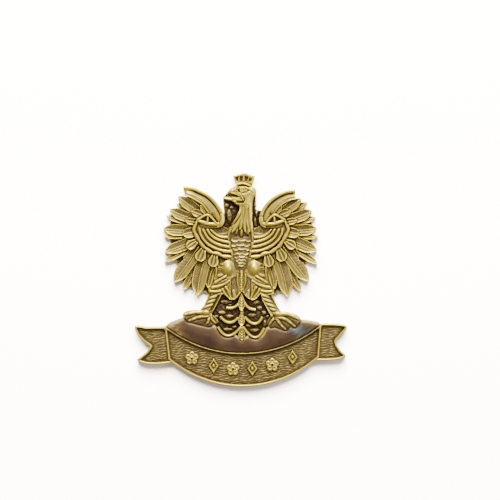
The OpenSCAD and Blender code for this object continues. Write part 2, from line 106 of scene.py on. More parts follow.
UNDER_QUILLS = {
    -1: [((-13.7, 16.2), (-10.0, 14.2), 1.5, 0), ((-15.9, 13.6), (-11.0, 12.2), 1.5, 0),
         ((-16.4, 9.2), (-11.0, 9.6), 1.4, 0), ((-16.3, 3.8), (-10.6, 6.9), 1.6, -0.1),
         ((-12.3, -2.2), (-9.6, 2.2), 1.6, -0.1)],
    1: [((14.1, 16.5), (10.4, 14.4), 1.5, 0), ((15.9, 13.3), (11.0, 12.0), 1.5, 0),
        ((16.5, 9.1), (11.0, 9.6), 1.4, 0), ((16.3, 3.3), (10.8, 6.8), 1.6, 0.1),
        ((12.7, -2.5), (9.8, 2.2), 1.6, 0.1)]}
# Small coverts, drawn on the left wing
COVERTS = [((-8.6, 15.9), (-6.3, 13.9), 1.7, 0), ((-10.6, 14.7), (-7.9, 13.6), 1.5, 0),
           ((-11.9, 12.7), (-9.4, 12.2), 1.3, 0), ((-12.4, 9.7), (-9.6, 10.3), 1.9, 0),
           ((-11.4, 6.9), (-9.0, 8.6), 2.2, 0), ((-9.0, 4.1), (-7.8, 7.0), 2.5, 0),
           ((-6.1, 2.9), (-5.4, 5.9), 2.4, 0)]
POINTED_ABOVE = 9.5    # coverts with their tips above this height are pointed, the others are fans
WING_GROUND = [(-3.9, 13.3), (-5.0, 15.3), (-7.0, 17.4), (-9.5, 18.7), (-11.2, 18.9),
               (-12.0, 16.0), (-13.2, 14.6), (-13.6, 11.8), (-13.6, 9.0), (-12.8, 6.2),
               (-11.6, 3.0), (-10.0, 0.2), (-8.0, -0.8), (-6.3, -0.6), (-5.2, 2.8),
               (-2.0, 4.2), (-2.0, 10.5), (-4.0, 11.6)]
WING_WEB = [(-11.0, 17.6), (-12.9, 15.6), (-14.6, 13.8), (-15.2, 11.4), (-15.2, 8.6),
            (-14.6, 5.6), (-14.0, 4.4), (-12.6, 0.2), (-11.4, -1.2), (-8.4, -2.4),
            (-7.0, -2.4), (-5.0, 2.0), (-6.0, 12.0)]
# Middle line of each leading band from the tip to the curl at the shoulder
BAND = {-1: [(-12.2, 19.5), (-10.3, 19.3), (-8.8, 18.7), (-7.1, 17.8), (-5.8, 16.6),
             (-4.8, 15.3), (-4.1, 13.9), (-3.95, 12.8), (-4.3, 11.9), (-5.2, 11.6),
             (-6.0, 11.9)],
        1: [(11.5, 18.85), (9.7, 18.6), (8.0, 17.9), (6.5, 16.9), (5.3, 15.6), (4.6, 14.4),
            (4.3, 13.2), (4.4, 12.3), (4.9, 11.7), (5.6, 11.6), (6.1, 11.9)]}
ARCS = [[(-2.2, 9.1), (-4.2, 9.2), (-5.4, 9.8), (-6.3, 10.7)],
        [(-2.2, 8.0), (-4.2, 8.4), (-5.6, 9.0), (-6.6, 9.9), (-7.1, 10.8)],
        [(-2.2, 7.0), (-4.0, 7.35), (-5.6, 7.95), (-7.0, 9.0), (-8.0, 10.7)],
        [(-2.2, 6.1), (-4.2, 6.35), (-6.2, 7.15), (-7.6, 8.25), (-8.5, 9.6), (-8.8, 10.9)]]
SCALLOPS = [(-2.1, 4.95), (-3.8, 5.1), (-4.8, 5.6), (-6.2, 5.9), (-7.4, 6.7), (-8.2, 7.4),
            (-8.9, 8.5), (-9.6, 9.7), (-10.0, 10.8), (-9.5, 12.0), (-9.2, 12.9)]
CHEST_ROWS = [(2.95, 0.75, 0.9), (3.6, 0.95, 1.0), (4.2, 1.1, 1.05), (4.85, 1.35, 1.1),
              (5.55, 1.6, 1.2), (6.5, 1.85, 1.3), (7.35, 2.05, 1.35), (8.35, 2.15, 1.4)]
THIGH_BARS = [([(-4.9, 3.1), (-4.5, 3.5), (-3.9, 3.3)], 0.2, (1.0, 0.7)),
              ([(-4.7, 2.7), (-4.35, 2.75), (-4.0, 2.5)], 0.18, (1.0, 0.7)),
              ([(-3.2, 0.9), (-4.2, 0.3), (-5.5, -0.45)], 0.38, (0.7, 0.8)),
              ([(-2.4, -0.1), (-3.6, -0.85), (-4.8, -1.25), (-6.1, -1.5)], 0.44, (0.6, 0.8)),
              ([(-3.2, -1.5), (-2.75, -2.2), (-2.5, -3.0)], 0.3, (1.2, 0.5)),
              ([(-6.5, -2.3), (-5.3, -2.4), (-4.1, -2.15)], 0.36, (0.8, 1.0)),
              ([(-3.9, -1.9), (-3.4, -2.8), (-2.7, -3.6)], 0.3, (1.1, 0.7)),
              ([(-5.9, 1.8), (-6.1, 0.2), (-6.5, -1.2)], 0.3, (0.8, 0.6)),
              ([(-5.3, 2.9), (-5.2, 1.9), (-5.4, 0.6)], 0.2, (1.0, 0.6))]
STRANDS = [[(-0.1, 15.9), (-0.5, 14.2), (-1.4, 12.8), (-2.4, 11.6)],
           [(0.35, 15.2), (0.3, 13.6), (-0.4, 12.3), (-1.1, 11.3), (-1.9, 10.0)],
           [(0.7, 14.4), (0.6, 13.0), (0.1, 11.9), (-0.25, 10.7)],
           [(1.05, 15.6), (1.15, 13.9), (0.9, 12.5), (0.75, 11.5), (0.9, 10.2)],
           [(1.6, 14.6), (1.5, 13.2), (1.55, 12.0), (1.75, 10.9), (1.5, 9.7)],
           [(2.0, 16.2), (1.95, 14.6), (1.95, 13.0), (2.15, 11.6), (2.3, 10.2)]]
BODY_OUTLINE = [(-2.6, 10.8), (2.4, 10.8), (2.7, 8.4), (2.3, 6.5), (2.1, 5.0), (3.2, 4.1),
                (4.5, 3.5), (5.5, 2.5), (6.1, 0.8), (6.7, -1.1), (7.0, -2.3), (6.7, -3.0),
                (4.9, -3.1), (4.1, -2.9), (3.4, -3.7), (2.6, -4.2), (1.6, -3.9), (0.8, -3.1),
                (0.2, -2.4), (-0.4, -3.1), (-0.9, -3.8), (-1.8, -4.2), (-2.7, -3.8),
                (-3.6, -3.0), (-4.4, -3.0), (-5.6, -3.0), (-6.6, -2.7), (-6.9, -2.2),
                (-6.7, -1.3), (-6.1, 0.6), (-5.5, 2.5), (-4.4, 3.5), (-3.1, 4.1),
                (-2.1, 5.0), (-2.3, 6.5), (-2.7, 8.4)]
HEAD_OUTLINE = [(-0.9, 19.9), (-1.7, 19.7), (-2.5, 19.2), (-3.0, 18.5), (-2.9, 17.9),
                (-2.4, 17.8), (-3.3, 17.7), (-3.9, 17.4), (-3.2, 17.0), (-1.9, 16.7),
                (-1.2, 16.1), (-0.4, 15.7), (-0.3, 15.0), (-0.8, 13.8), (-1.5, 12.5),
                (-2.2, 11.5), (-2.6, 10.8), (2.4, 10.8), (2.3, 12.5), (2.4, 15.0),
                (2.6, 17.2), (3.2, 18.2), (3.2, 19.1), (2.3, 19.9)]
EYE = (0.28, 19.15)
CROWN_OUTLINE = [(-0.9, 19.9), (2.3, 19.9), (2.6, 21.0), (2.95, 22.1), (2.2, 22.2),
                 (2.0, 22.55), (1.4, 22.4), (1.25, 22.8), (0.6, 22.6), (0.3, 22.8),
                 (-0.2, 22.45), (-0.7, 22.6), (-0.9, 22.2), (-1.7, 22.2), (-1.35, 21.0)]
SHANK = {-1: [(-6.7, -2.7), (-4.0, -2.9), (-5.2, -5.3), (-6.3, -7.2), (-8.6, -7.2),
              (-8.9, -6.5), (-7.9, -5.4)],
         1: [(6.7, -3.0), (4.2, -3.0), (4.6, -4.4), (6.5, -7.8), (8.8, -7.8), (8.5, -6.7),
             (7.6, -5.2)]}
FOOT = {-1: [(-8.9, -6.4), (-10.8, -6.4), (-12.2, -6.9), (-12.4, -7.7), (-11.4, -8.8),
             (-10.2, -9.1), (-8.4, -9.6), (-6.8, -9.9), (-5.8, -9.5), (-4.9, -9.0),
             (-5.1, -8.2), (-6.3, -7.2)],
        1: [(8.6, -6.7), (10.6, -6.9), (12.2, -7.6), (12.7, -8.4), (12.1, -9.6),
            (11.4, -10.2), (10.4, -9.9), (9.6, -10.7), (8.4, -10.4), (7.2, -10.0),
            (6.2, -10.1), (5.5, -9.2), (5.8, -8.3), (6.4, -7.6)]}
# Toes as a line from the ankle to the claw, with half its width
TOES = {-1: [([(-7.4, -6.9), (-9.6, -6.8), (-11.9, -7.3)], 0.5),
             ([(-7.3, -7.5), (-9.2, -7.9), (-11.0, -8.6)], 0.48),
             ([(-7.0, -7.3), (-6.9, -8.6), (-7.4, -9.3)], 0.42),
             ([(-6.6, -7.4), (-6.1, -8.4), (-5.4, -9.0)], 0.4)],
        1: [([(7.7, -7.2), (9.9, -7.2), (12.2, -8.2)], 0.5),
            ([(7.6, -7.6), (9.6, -8.4), (11.4, -9.8)], 0.48),
            ([(7.5, -7.9), (8.2, -9.2), (9.4, -10.4)], 0.42),
            ([(7.2, -8.0), (6.5, -8.6), (6.0, -9.4)], 0.42)]}
SPINE = [(0.1, -2.6), (0.1, -6.6), (0.1, -9.8), (0.2, -12.8)]
SPINE_W = 1.5
CURLS = [[(-0.3, -4.6), (-1.2, -6.2), (-3.1, -5.8)], [(0.6, -4.5), (1.3, -6.2), (3.1, -6.2)],
         [(-0.6, -7.9), (-2.4, -10.1), (-4.4, -7.7)], [(0.8, -7.8), (3.2, -10.6), (4.5, -7.8)],
         [(-0.1, -10.0), (-3.0, -13.6), (-4.9, -9.9)], [(0.5, -10.0), (3.3, -14.2), (4.9, -10.1)]]
CURL_W = 0.72
NECK_WEB = [(-3.9, 17.5), (-3.0, 18.5), (2.4, 19.5), (3.2, 19.0), (3.25, 15.0), (4.2, 14.8),
            (4.6, 10.0), (-4.6, 10.0), (-3.6, 14.0)]
LANCES = [((-2.2, 9.9), (-1.3, 12.2), 0.9, 0), ((-1.2, 9.3), (-0.5, 12.0), 1.1, 0),
          ((0.0, 8.9), (0.2, 11.8), 1.15, 0), ((1.2, 9.4), (1.0, 12.0), 1.1, 0),
          ((2.1, 10.0), (1.7, 12.2), 0.9, 0), ((-1.6, 11.1), (-0.6, 13.7), 0.95, 0),
          ((-0.5, 10.7), (0.1, 13.6), 1.0, 0), ((0.7, 10.8), (0.9, 13.6), 1.0, 0),
          ((1.8, 11.2), (1.7, 13.8), 0.95, 0)]
LEG_WEB = [(-7.2, -1.6), (7.3, -1.6), (7.9, -2.6), (6.8, -3.2), (7.4, -7.6), (6.4, -10.0),
           (4.9, -11.2), (3.4, -13.2), (-3.0, -13.2), (-4.8, -11.0), (-6.4, -9.4),
           (-7.4, -7.0), (-6.7, -3.0), (-7.7, -2.4)]
# Lumps on the plate beside the neck and between the legs: place and half size
WEB_LUMPS = [(-2.5, 13.6, 0.6, 1.5), (-1.9, 11.6, 0.5, 0.7), (-3.0, 15.9, 0.5, 0.6),
             (-2.0, 15.4, 0.5, 0.3), (3.0, 12.2, 0.45, 1.1), (3.3, 14.1, 0.35, 0.7),
             (-3.2, -4.6, 1.3, 0.5), (-2.4, -5.3, 0.6, 0.3), (-4.1, -6.9, 0.9, 0.45),
             (-2.4, -7.6, 1.0, 0.4), (-5.3, -7.7, 0.6, 0.4), (-1.4, -9.9, 0.6, 0.3),
             (3.3, -4.7, 0.8, 0.5), (3.9, -5.9, 0.7, 0.5), (4.9, -6.9, 0.6, 0.5),
             (2.3, -7.4, 1.0, 0.45), (5.7, -7.7, 0.5, 0.4), (5.1, -9.2, 0.7, 0.8),
             (-2.8, -10.4, 1.1, 0.4), (2.9, -10.6, 1.1, 0.45), (1.5, -9.6, 0.6, 0.3)]
MOUND_EDGE = [(-16.0, -9.7), (-15.0, -8.9), (-12.8, -8.1), (-11.2, -7.9), (-9.0, -8.4),
              (-6.8, -9.0), (-5.2, -9.8), (-4.4, -10.9), (-3.0, -11.7), (-1.4, -11.4),
              (0.2, -12.4), (1.8, -11.5), (3.3, -12.2), (4.6, -11.5), (5.2, -10.2),
              (6.4, -9.6), (9.0, -9.4), (11.0, -8.8), (12.6, -8.3), (16.1, -8.8), (16.7, -9.1)]
TOP_ARC = ((0.2, 10.85), 26.25)
LOW_ARC = ((0.3, 1.6), 24.15)
PANEL_LEFT = (-16.2, -15.4)
PANEL_RIGHT = (17.05, 16.5)
FORK = {-1: [(-16.2, -9.85), (-20.0, -9.9), (-21.8, -9.6), (-22.5, -9.7), (-22.5, -10.4),
             (-21.9, -11.6), (-20.6, -13.0), (-19.2, -14.0), (-19.9, -15.1), (-21.1, -16.1),
             (-22.1, -16.8), (-21.6, -17.3), (-20.0, -17.75), (-18.0, -17.85),
             (-16.2, -17.7), (-14.7, -17.45), (-14.8, -12.0)],
        1: [(16.9, -9.15), (20.0, -9.2), (21.8, -9.4), (22.5, -9.75), (22.3, -10.4),
            (21.2, -11.6), (20.1, -12.9), (20.3, -13.7), (21.1, -14.9), (22.25, -15.9),
            (21.8, -16.4), (20.4, -16.85), (18.2, -17.0), (15.8, -17.0), (15.9, -12.0)]}
ORNAMENTS = [(-10.4, -16.5), (-5.8, -18.1), (-1.7, -18.8), (2.4, -18.7), (6.6, -17.9),
             (10.9, -16.3)]
PETALS = 5
PETAL_R = 0.62
PETAL_ORBIT = 0.85
LOZENGE = (1.15, 1.65)      # half the width and half the height
# A blue-grey reflection painted onto the mound's right-hand slope: its centre and reach
PAINTED_REFLECTION_PLACE = (0.0120, -0.0023, -0.0099)
PAINTED_REFLECTION_REACH = 0.0042
SIDE_NAME = {-1: "left", 1: "right"}


# ---- geometry in the plane of the badge ----

def mirrored(points):
    return [(-x, z) for x, z in points]


def on_side(points, side):
    """Points drawn on the left, put on the given side."""
    return points if side < 0 else mirrored(points)


def leaf_on_side(leaf, side):
    tip, root, width, bend = leaf
    return leaf if side < 0 else ((-tip[0], tip[1]), (-root[0], root[1]), width, -bend)


def smooth_line(points, steps=6, closed=False):
    """A Catmull-Rom curve through the points."""
    p = np.array(points, float)
    before, after = ([p[-1]], p[:2]) if closed else ([2 * p[0] - p[1]], [2 * p[-1] - p[-2]])
    ring = np.vstack([before, p, after])
    t = np.linspace(0, 1, steps, endpoint=False)[:, None]
    out = []
    for a, b, c, d in zip(ring, ring[1:], ring[2:], ring[3:]):
        out.append(0.5 * (2 * b + (c - a) * t + (2 * a - 5 * b + 4 * c - d) * t ** 2
                          + (3 * b - a - 3 * c + d) * t ** 3))
    if not closed:
        out.append(p[-1:])
    return np.vstack(out)


def bezier(control, steps=16):
    a, b, c = (np.array(p, float) for p in control)
    t = np.linspace(0, 1, steps + 1)[:, None]
    return a * (1 - t) ** 2 + b * 2 * t * (1 - t) + c * t ** 2


def arc_z(arc, x):
    (cx, cz), r = arc
    return cz - np.sqrt(r * r - (x - cx) ** 2)


def arc_points(arc, x0, x1, steps=48):
    x = np.linspace(x0, x1, steps + 1)
    return np.column_stack([x, arc_z(arc, x)])


def leaf_half(t, width):
    """Half the width of a leaf at t from root to tip."""
    inside = np.clip(t, 0, 1)
    return width / 2 * np.maximum(0, np.sin(np.pi * inside ** 1.35)) ** 0.8


def leaf_outline(leaf, steps=14):
    tip, root, width, bend = (np.array(v, float) for v in leaf)
    length = np.linalg.norm(tip - root)
    along = (tip - root) / length
    across = np.array([-along[1], along[0]])
    t = np.linspace(0, 1, steps + 1)[:, None]
    middle = root + (tip - root) * t + across * bend * 4 * t * (1 - t)
    half = leaf_half(t, width)
    return np.vstack([middle + across * half, (middle - across * half)[-2:0:-1]])


def normals(line):
    """Unit vectors to the left of a line, one at each of its points."""
    d = np.gradient(line, axis=0)
    return np.column_stack([-d[:, 1], d[:, 0]]) / np.linalg.norm(d, axis=1)[:, None]


def ribbon(line, half):
    """The outline of a band along a line."""
    across = normals(line) * half
    return np.vstack([line + across, (line - across)[::-1]])


# ---- height fields ----

GRID_ORIGIN = np.array([CAD_BOX[0][0], CAD_BOX[0][2]]) / MM - 1.0
GRID_END = np.array([CAD_BOX[1][0], CAD_BOX[1][2]]) / MM + 1.0
GRID_SHAPE = tuple(((GRID_END - GRID_ORIGIN) / CELL).astype(int)[::-1] + 1)


class Field:
    """A window of the badge's grid: its points, the piece's height and its outline's distance."""

    def __init__(self, points, margin=0.5, ground=0.0):
        p = np.asarray(points, float)
        low = np.floor((p.min(0) - margin - GRID_ORIGIN) / CELL).astype(int)
        high = np.ceil((p.max(0) + margin - GRID_ORIGIN) / CELL).astype(int)
        low = np.maximum(low, 0)
        high = np.minimum(high, np.array(GRID_SHAPE[::-1]) - 1)
        self.window = (slice(low[1], high[1] + 1), slice(low[0], high[0] + 1))
        x = GRID_ORIGIN[0] + CELL * np.arange(low[0], high[0] + 1)
        z = GRID_ORIGIN[1] + CELL * np.arange(low[1], high[1] + 1)
        self.origin = (x[0], z[0])
        self.x, self.z = np.meshgrid(x, z)
        self.height = np.full(self.x.shape, float(ground))
        # tone is patina rubbed off or added, and on the scroll also painted shade beside the rims and
        # round the ornaments
        self.tone = np.zeros(self.x.shape)          # patina rubbed off, or added below zero
        self.edge = np.full(self.x.shape, 9.0)      # signed distance, negative inside

    def near(self, points, margin):
        """The part of the window that lies around these points."""
        p = np.asarray(points, float)
        low = ((p.min(0) - margin - self.origin) / CELL).astype(int)
        high = ((p.max(0) + margin - self.origin) / CELL).astype(int) + 2
        return (slice(max(low[1], 0), max(high[1], 0)), slice(max(low[0], 0), max(high[0], 0)))

    def by_line(self, line, margin):
        """The part of the window near a line, with its points' distance to it and place along it."""
        part = self.near(line, margin)
        return part, *line_distance(self.x[part], self.z[part], line)

    def by_outline(self, outline, margin):
        """The part of the window near an outline, with its points' signed distance to it."""
        part = self.near(outline, margin)
        return part, polygon_distance(self.x[part], self.z[part], outline)

    def include(self, *outlines):
        """Adds outlines to the piece."""
        for outline in outlines:
            part, d = self.by_outline(outline, 1.5)
            self.edge[part] = np.minimum(self.edge[part], d)

    def exclude(self, *outlines):
        """Cuts outlines out of the piece."""
        for outline in outlines:
            part, d = self.by_outline(outline, 1.5)
            self.edge[part] = np.maximum(self.edge[part], -d)

    def radius(self, centre, radii):
        """How far every point is from an ellipse's centre, where the ellipse itself is 1."""
        return np.hypot((self.x - centre[0]) / radii[0], (self.z - centre[1]) / radii[1])

    def lay(self, part, cover, height, tone=0.0):
        """Lays a height and a tone over part of the field where cover, from 0 to 1, says so."""
        self.height[part] += (height - self.height[part]) * cover
        self.tone[part] += (tone - self.tone[part]) * cover


def piece_field(outlines, ground=0.0):
    """A field round some outlines, with the piece filling them all."""
    f = Field(np.vstack(outlines), ground=ground)
    f.include(*outlines)
    return f


def polygon_distance(x, z, outline):
    """Signed distance to a closed outline, negative inside."""
    p = np.asarray(outline, float)
    q = np.roll(p, -1, axis=0)
    best = np.full(x.shape, 1e9)
    inside = np.zeros(x.shape, bool)
    for (ax, az), (bx, bz) in zip(p, q):
        ex, ez = bx - ax, bz - az
        wx, wz = x - ax, z - az
        t = np.clip((wx * ex + wz * ez) / max(ex * ex + ez * ez, 1e-12), 0, 1)
        best = np.minimum(best, (wx - ex * t) ** 2 + (wz - ez * t) ** 2)
        if az != bz:
            inside ^= ((az > z) != (bz > z)) & (x < ex * (z - az) / ez + ax)
    d = np.sqrt(best)
    return np.where(inside, -d, d)


def line_distance(x, z, line):
    """Distance to an open line, and how far along it the nearest point is, from 0 to 1."""
    p = np.asarray(line, float)
    lengths = np.linalg.norm(np.diff(p, axis=0), axis=1)
    starts = np.concatenate([[0], np.cumsum(lengths)])
    best = np.full(x.shape, 1e9)
    along = np.zeros(x.shape)
    for k, (a, b) in enumerate(zip(p, p[1:])):
        e = b - a
        wx, wz = x - a[0], z - a[1]
        t = np.clip((wx * e[0] + wz * e[1]) / max(e @ e, 1e-12), 0, 1)
        d = (wx - e[0] * t) ** 2 + (wz - e[1] * t) ** 2
        closer = d < best
        best = np.where(closer, d, best)
        along = np.where(closer, starts[k] + t * lengths[k], along)
    return np.sqrt(best), along / starts[-1]


def step(v, width=1.2 * CELL):
    """A soft step from 0 to 1 around v = 0."""
    t = np.clip(v / width * 0.5 + 0.5, 0, 1)
    return t * t * (3 - 2 * t)


def dome(v):
    """1 in the middle of a round section, 0 at its edge, for v from -1 to 1."""
    return np.sqrt(np.clip(1 - v * v, 0, 1))


def bell(d, width):
    return np.exp(-(d / width) ** 2)


def leaf_coordinates(x, z, leaf, root_t=0.0, extend=0.0):
    """For each point: t along the leaf, offset from its middle line, half width, distance inside.

    Below root_t the leaf keeps its full width, and it runs on past its root by extend.
    """
    tip, root, width, bend = leaf
    tip, root = np.array(tip, float), np.array(root, float)
    length = np.linalg.norm(tip - root)
    u = (tip - root) / length
    t = ((x - root[0]) * u[0] + (z - root[1]) * u[1]) / length
    offset = -(x - root[0]) * u[1] + (z - root[1]) * u[0] - bend * 4 * np.clip(t * (1 - t), 0, 1)
    half = leaf_half(np.maximum(t, root_t), width)
    beyond = np.maximum(np.maximum(-t - extend, t - 1), 0) * length
    inside = np.where(beyond > 0, -np.hypot(offset, beyond), half - np.abs(offset))
    return t, offset, half, inside, length


def lay_quill(f, leaf, side, ground, rise=0.45, rim=0.2, barbs=0.06):
    """A feather: thin rims and a shaft over two vanes, the upper one sunk and combed with barbs."""
    part = f.near(leaf_outline(leaf), 2.2)
    t, offset, half, inside, length = leaf_coordinates(f.x[part], f.z[part], leaf, 0.58, 0.3)
    across = np.clip(offset * -side / np.maximum(half, 1e-3), -1, 1)
    upper = step(-across, 0.12)
    comb = np.cos(2 * np.pi * (t * length - 0.9 * np.abs(offset)) / 0.4)
    vane = 0.10 * dome(2 * np.clip(across, 0, 1) - 1) - 0.1
    height = ground + rise * (0.55 + 0.45 * np.clip(t, 0, 1)) - 0.08 * across
    height += vane + (barbs * comb - 0.16 - vane) * upper + 0.25 * barbs * comb
    height += rim * bell(inside - 0.12, 0.1) + rim * bell(offset, 0.11) * step(0.93 - t, 0.1)
    height -= 0.1 * bell(offset * -side - 0.28, 0.12) * step(0.9 - t, 0.1)
    height -= 0.3 * (1 - dome(np.clip(1 - inside / 0.12, 0, 1)))
    f.height[part] -= 0.2 * bell(np.minimum(inside, 0), 0.16) * step(-inside)
    tone = (0.12 * comb - 0.06) * (1 - upper) - (0.36 - 0.18 * comb) * upper
    tone += 0.34 * bell(inside - 0.12, 0.11) + 0.26 * bell(offset, 0.1)
    f.lay(part, step(inside), height, tone)


def lay_fan(f, leaf, ground, ridges=3, rise=0.3):
    """A short covert: it widens from its root to a round tip, with ridges that fan out."""
    part = f.near(leaf_outline(leaf), 1.0)
    t, offset, _, _, length = leaf_coordinates(f.x[part], f.z[part], leaf)
    half = leaf[2] / 2 * (0.35 + 0.65 * np.clip(t / 0.65, 0, 1))
    half *= dome(np.clip((t - 0.65) / 0.37, 0, 1))
    inside = np.minimum(half - np.abs(offset), (t + 0.1) * length)
    across = np.clip(offset / np.maximum(half, 1e-3), -1, 1)
    flutes = np.abs(np.cos(np.pi * ridges / 2 * across)) ** 1.5
    height = ground + rise * (0.2 + 0.8 * flutes) + 0.25 * np.clip(t, 0, 1)
    height += 0.16 * bell(inside - 0.13, 0.11) - 0.3 * (1 - dome(np.clip(1 - inside / 0.12, 0, 1)))
    f.height[part] -= 0.24 * bell(np.minimum(inside, 0), 0.18) * step(-inside)
    f.lay(part, step(inside), height, -0.2 * (1 - flutes) + 0.15 * bell(inside - 0.13, 0.12))


def beside(line, side, gap):
    """The line moved by gap, a number or one for each point, towards the inside of the wing."""
    return line + side * normals(line) * np.reshape(gap, (-1, 1))


def soft_boss(f, centre, radii, level, softness=0.7, droop=0.25, tone=0.05):
    """Lays an elliptical swelling that runs smoothly into what lies round it."""
    r = f.radius(centre, radii)
    cover = step((1 - r) * min(radii), softness)
    f.lay(EVERYWHERE, cover, level - droop * np.clip(r, 0, 1.3) ** 2, tone)


def fill(f, outline, level, tone=0.0, texture=0.0):
    """Lays a flat or grained pocket floor inside an outline."""
    part, d = f.by_outline(outline, 0.3)
    grain = np.sin(9.0 * f.x[part] + 2.0 * np.sin(7.0 * f.z[part])) * np.sin(11.0 * f.z[part])
    f.lay(part, step(-d, 0.15), level + texture * grain, tone)


def lay_stroke(f, line, half, ground, rise, taper=(1.0, 1.0), groove=0.15, power=1.0, tone=0.0):
    """A round bar along a line; taper gives its width at each end as a share of half."""
    part, d, t = f.by_line(line, half + 0.5)
    w = half * (taper[0] + (taper[1] - taper[0]) * t)
    inside = w - d
    height = ground + rise * dome(np.clip(d / w, 0, 1)) ** power * (w / half) ** 0.5
    f.height[part] -= groove * bell(np.minimum(inside, 0), 0.15) * step(-inside)
    f.lay(part, step(inside), height, tone)


def lay_bar(f, side, points, half, ground, rise, *section, **more):
    """A round bar along the curve through points that are drawn on the left."""
    curve = smooth_line(on_side(points, side), 5)
    lay_stroke(f, curve, half, ground, rise, *section, **more)


def add_line(f, line, half, rise):
    """Raises, or with a negative rise cuts, a soft line."""
    part, d, _ = f.by_line(line, 3 * half)
    f.height[part] += rise * bell(d, half)


def add_boss(f, centre, radii, rise):
    """Adds an elliptical boss, or with a negative rise a pit."""
    f.height += rise * dome(np.clip(f.radius(centre, radii), 0, 1))


def lay_boss(f, centre, radii, ground, rise):
    """Lays an elliptical dome."""
    r = f.radius(centre, radii)
    f.lay(EVERYWHERE, step((1 - r) * min(radii)), ground + rise * dome(np.clip(r, 0, 1)))


def blurred(image, sigma):
    """A Gaussian blur, sigma in millimetres."""
    reach = int(3 * sigma / CELL) + 1
    k = np.exp(-0.5 * (np.arange(-reach, reach + 1) * CELL / sigma) ** 2)
    k /= k.sum()
    for axis in (0, 1):
        pad = [(reach, reach) if a == axis else (0, 0) for a in (0, 1)]
        wide = np.pad(image, pad, mode="edge")
        n = image.shape[axis]
        image = sum(w * np.take(wide, range(i, i + n), axis) for i, w in enumerate(k))
    return image


def inflate(f, depth, reach):
    """How much a piece swells from its edge: 0 at the edge, depth from reach inwards."""
    return depth * dome(1 - np.clip(-f.edge / reach, 0, 1))


def ripple(x, z, pitch, waviness=0.5):
    """Short horizontal wavy grain from a few sines, between -1 and 1."""
    bend = 0.3 * np.sin(1.7 * x + 1.3 * np.sin(0.9 * z)) + 0.16 * np.sin(4.1 * x + 2.3 * z)
    a = np.sin(2 * np.pi * (z + waviness * bend) / pitch)
    b = np.sin(2 * np.pi * (z - 0.7 * waviness * bend) / (pitch * 0.63) + 2.2 * np.sin(1.3 * x))
    patches = 0.6 + 0.4 * np.sin(3.1 * x + 2.0 * np.sin(2.3 * z)) * np.sin(2.7 * z + 0.8 * x)
    return (0.6 * a + 0.4 * b) * patches


# ---- outlines of whole pieces ----

BODY_RING = smooth_line(BODY_OUTLINE, 4, closed=True)
HEAD_RING = smooth_line(HEAD_OUTLINE, 4, closed=True)
FOOT_RING = {s: smooth_line(FOOT[s], 4, closed=True) for s in FOOT}
PANEL = np.vstack([arc_points(TOP_ARC, PANEL_LEFT[0], PANEL_RIGHT[0]),
                   arc_points(LOW_ARC, PANEL_RIGHT[1], PANEL_LEFT[1])])
MOUND_GROUND = np.vstack([smooth_line(MOUND_EDGE, 3),
                          arc_points((TOP_ARC[0], TOP_ARC[1] + MOUND_UNDER),
                                     MOUND_EDGE[-1][0], MOUND_EDGE[0][0])])


def band_outline(side, half=0.45):
    return ribbon(smooth_line(BAND[side], 4), half)


def wing_outlines(side):
    leaves = QUILLS[side] + UNDER_QUILLS[side]
    return [leaf_outline(q) for q in leaves] + [on_side(WING_GROUND, side), band_outline(side)]


def leg_outlines(side):
    return [SHANK[side], FOOT_RING[side]]


def tail_outlines():
    beads = [leaf_outline((b, a, SPINE_W, 0)) for a, b in zip(SPINE, SPINE[1:])]
    core = [(-0.25, -2.8), (0.45, -2.8), (0.55, -12.2), (-0.15, -12.2)]
    return beads + [core] + [ribbon(bezier(c, 14), CURL_W / 2) for c in CURLS]


# ---- heights of the pieces ----

def wing_field(side):
    f = piece_field(wing_outlines(side), PLATE + 0.35)
    f.exclude(BODY_RING, HEAD_RING)
    f.tone -= 0.1
    for q in UNDER_QUILLS[side]:
        lay_quill(f, q, side, PLATE + 0.15, rise=0.45, rim=0.16, barbs=0.02)
    for q in QUILLS[side][::-1]:
        lay_quill(f, q, side, PLATE + 0.45)
    for c in COVERTS[::-1]:
        tip, root, width, bend = leaf_on_side(c, side)
        if tip[1] > POINTED_ABOVE:
            pointed = (tip, root, 1.15 * width, bend)
            lay_quill(f, pointed, side, PLATE + 0.8, rise=0.3, barbs=0.03)
        else:
            lay_fan(f, (tip, root, width, bend), PLATE + 0.85)
    # the field inside the scallops, and the arcs that sweep over it from the body
    hollow = [(-2.0, 5.2), (-5.6, 6.1), (-7.8, 7.6), (-9.4, 10.2), (-9.6, 11.4), (-8.6, 12.6),
              (-5.0, 12.0), (-2.0, 11.4)]
    fill(f, on_side(hollow, side), PLATE + 0.85, tone=-0.08)
    for line in ARCS:
        curve = smooth_line(on_side(line, side), 6)
        lay_stroke(f, curve, 0.3, PLATE + 1.0, 0.35, (1.1, 0.9), groove=0.05, power=1.2, tone=0.08)
    web = [(-2.6, 10.2), (-3.6, 10.0), (-4.6, 9.9), (-5.6, 10.3), (-6.8, 11.3), (-3.8, 11.7)]
    fill(f, on_side(web, side), PLATE + 0.6, -0.3, 0.05)
    lay_scallops(f, side)
    lay_band(f, side)
    lay_shoulder(f, side)
    return f


def lay_scallops(f, side):
    """The wavy ridge that frames the arcs, with short lobes along its outer edge."""
    rim = smooth_line(on_side(SCALLOPS, side), 8)
    part, d, t = f.by_line(rim, 1.2)
    w = 0.28 + 0.2 * np.abs(np.sin(np.pi * 6.5 * t)) ** 0.6 * step(0.85 - t, 0.2)
    f.height[part] -= 0.24 * bell(np.minimum(w - d, 0), 0.2) * step(d - w)
    f.lay(part, step(w - d), PLATE + 0.95 + 0.45 * dome(np.clip(d / w, 0, 1)) ** 1.4, 0.06)


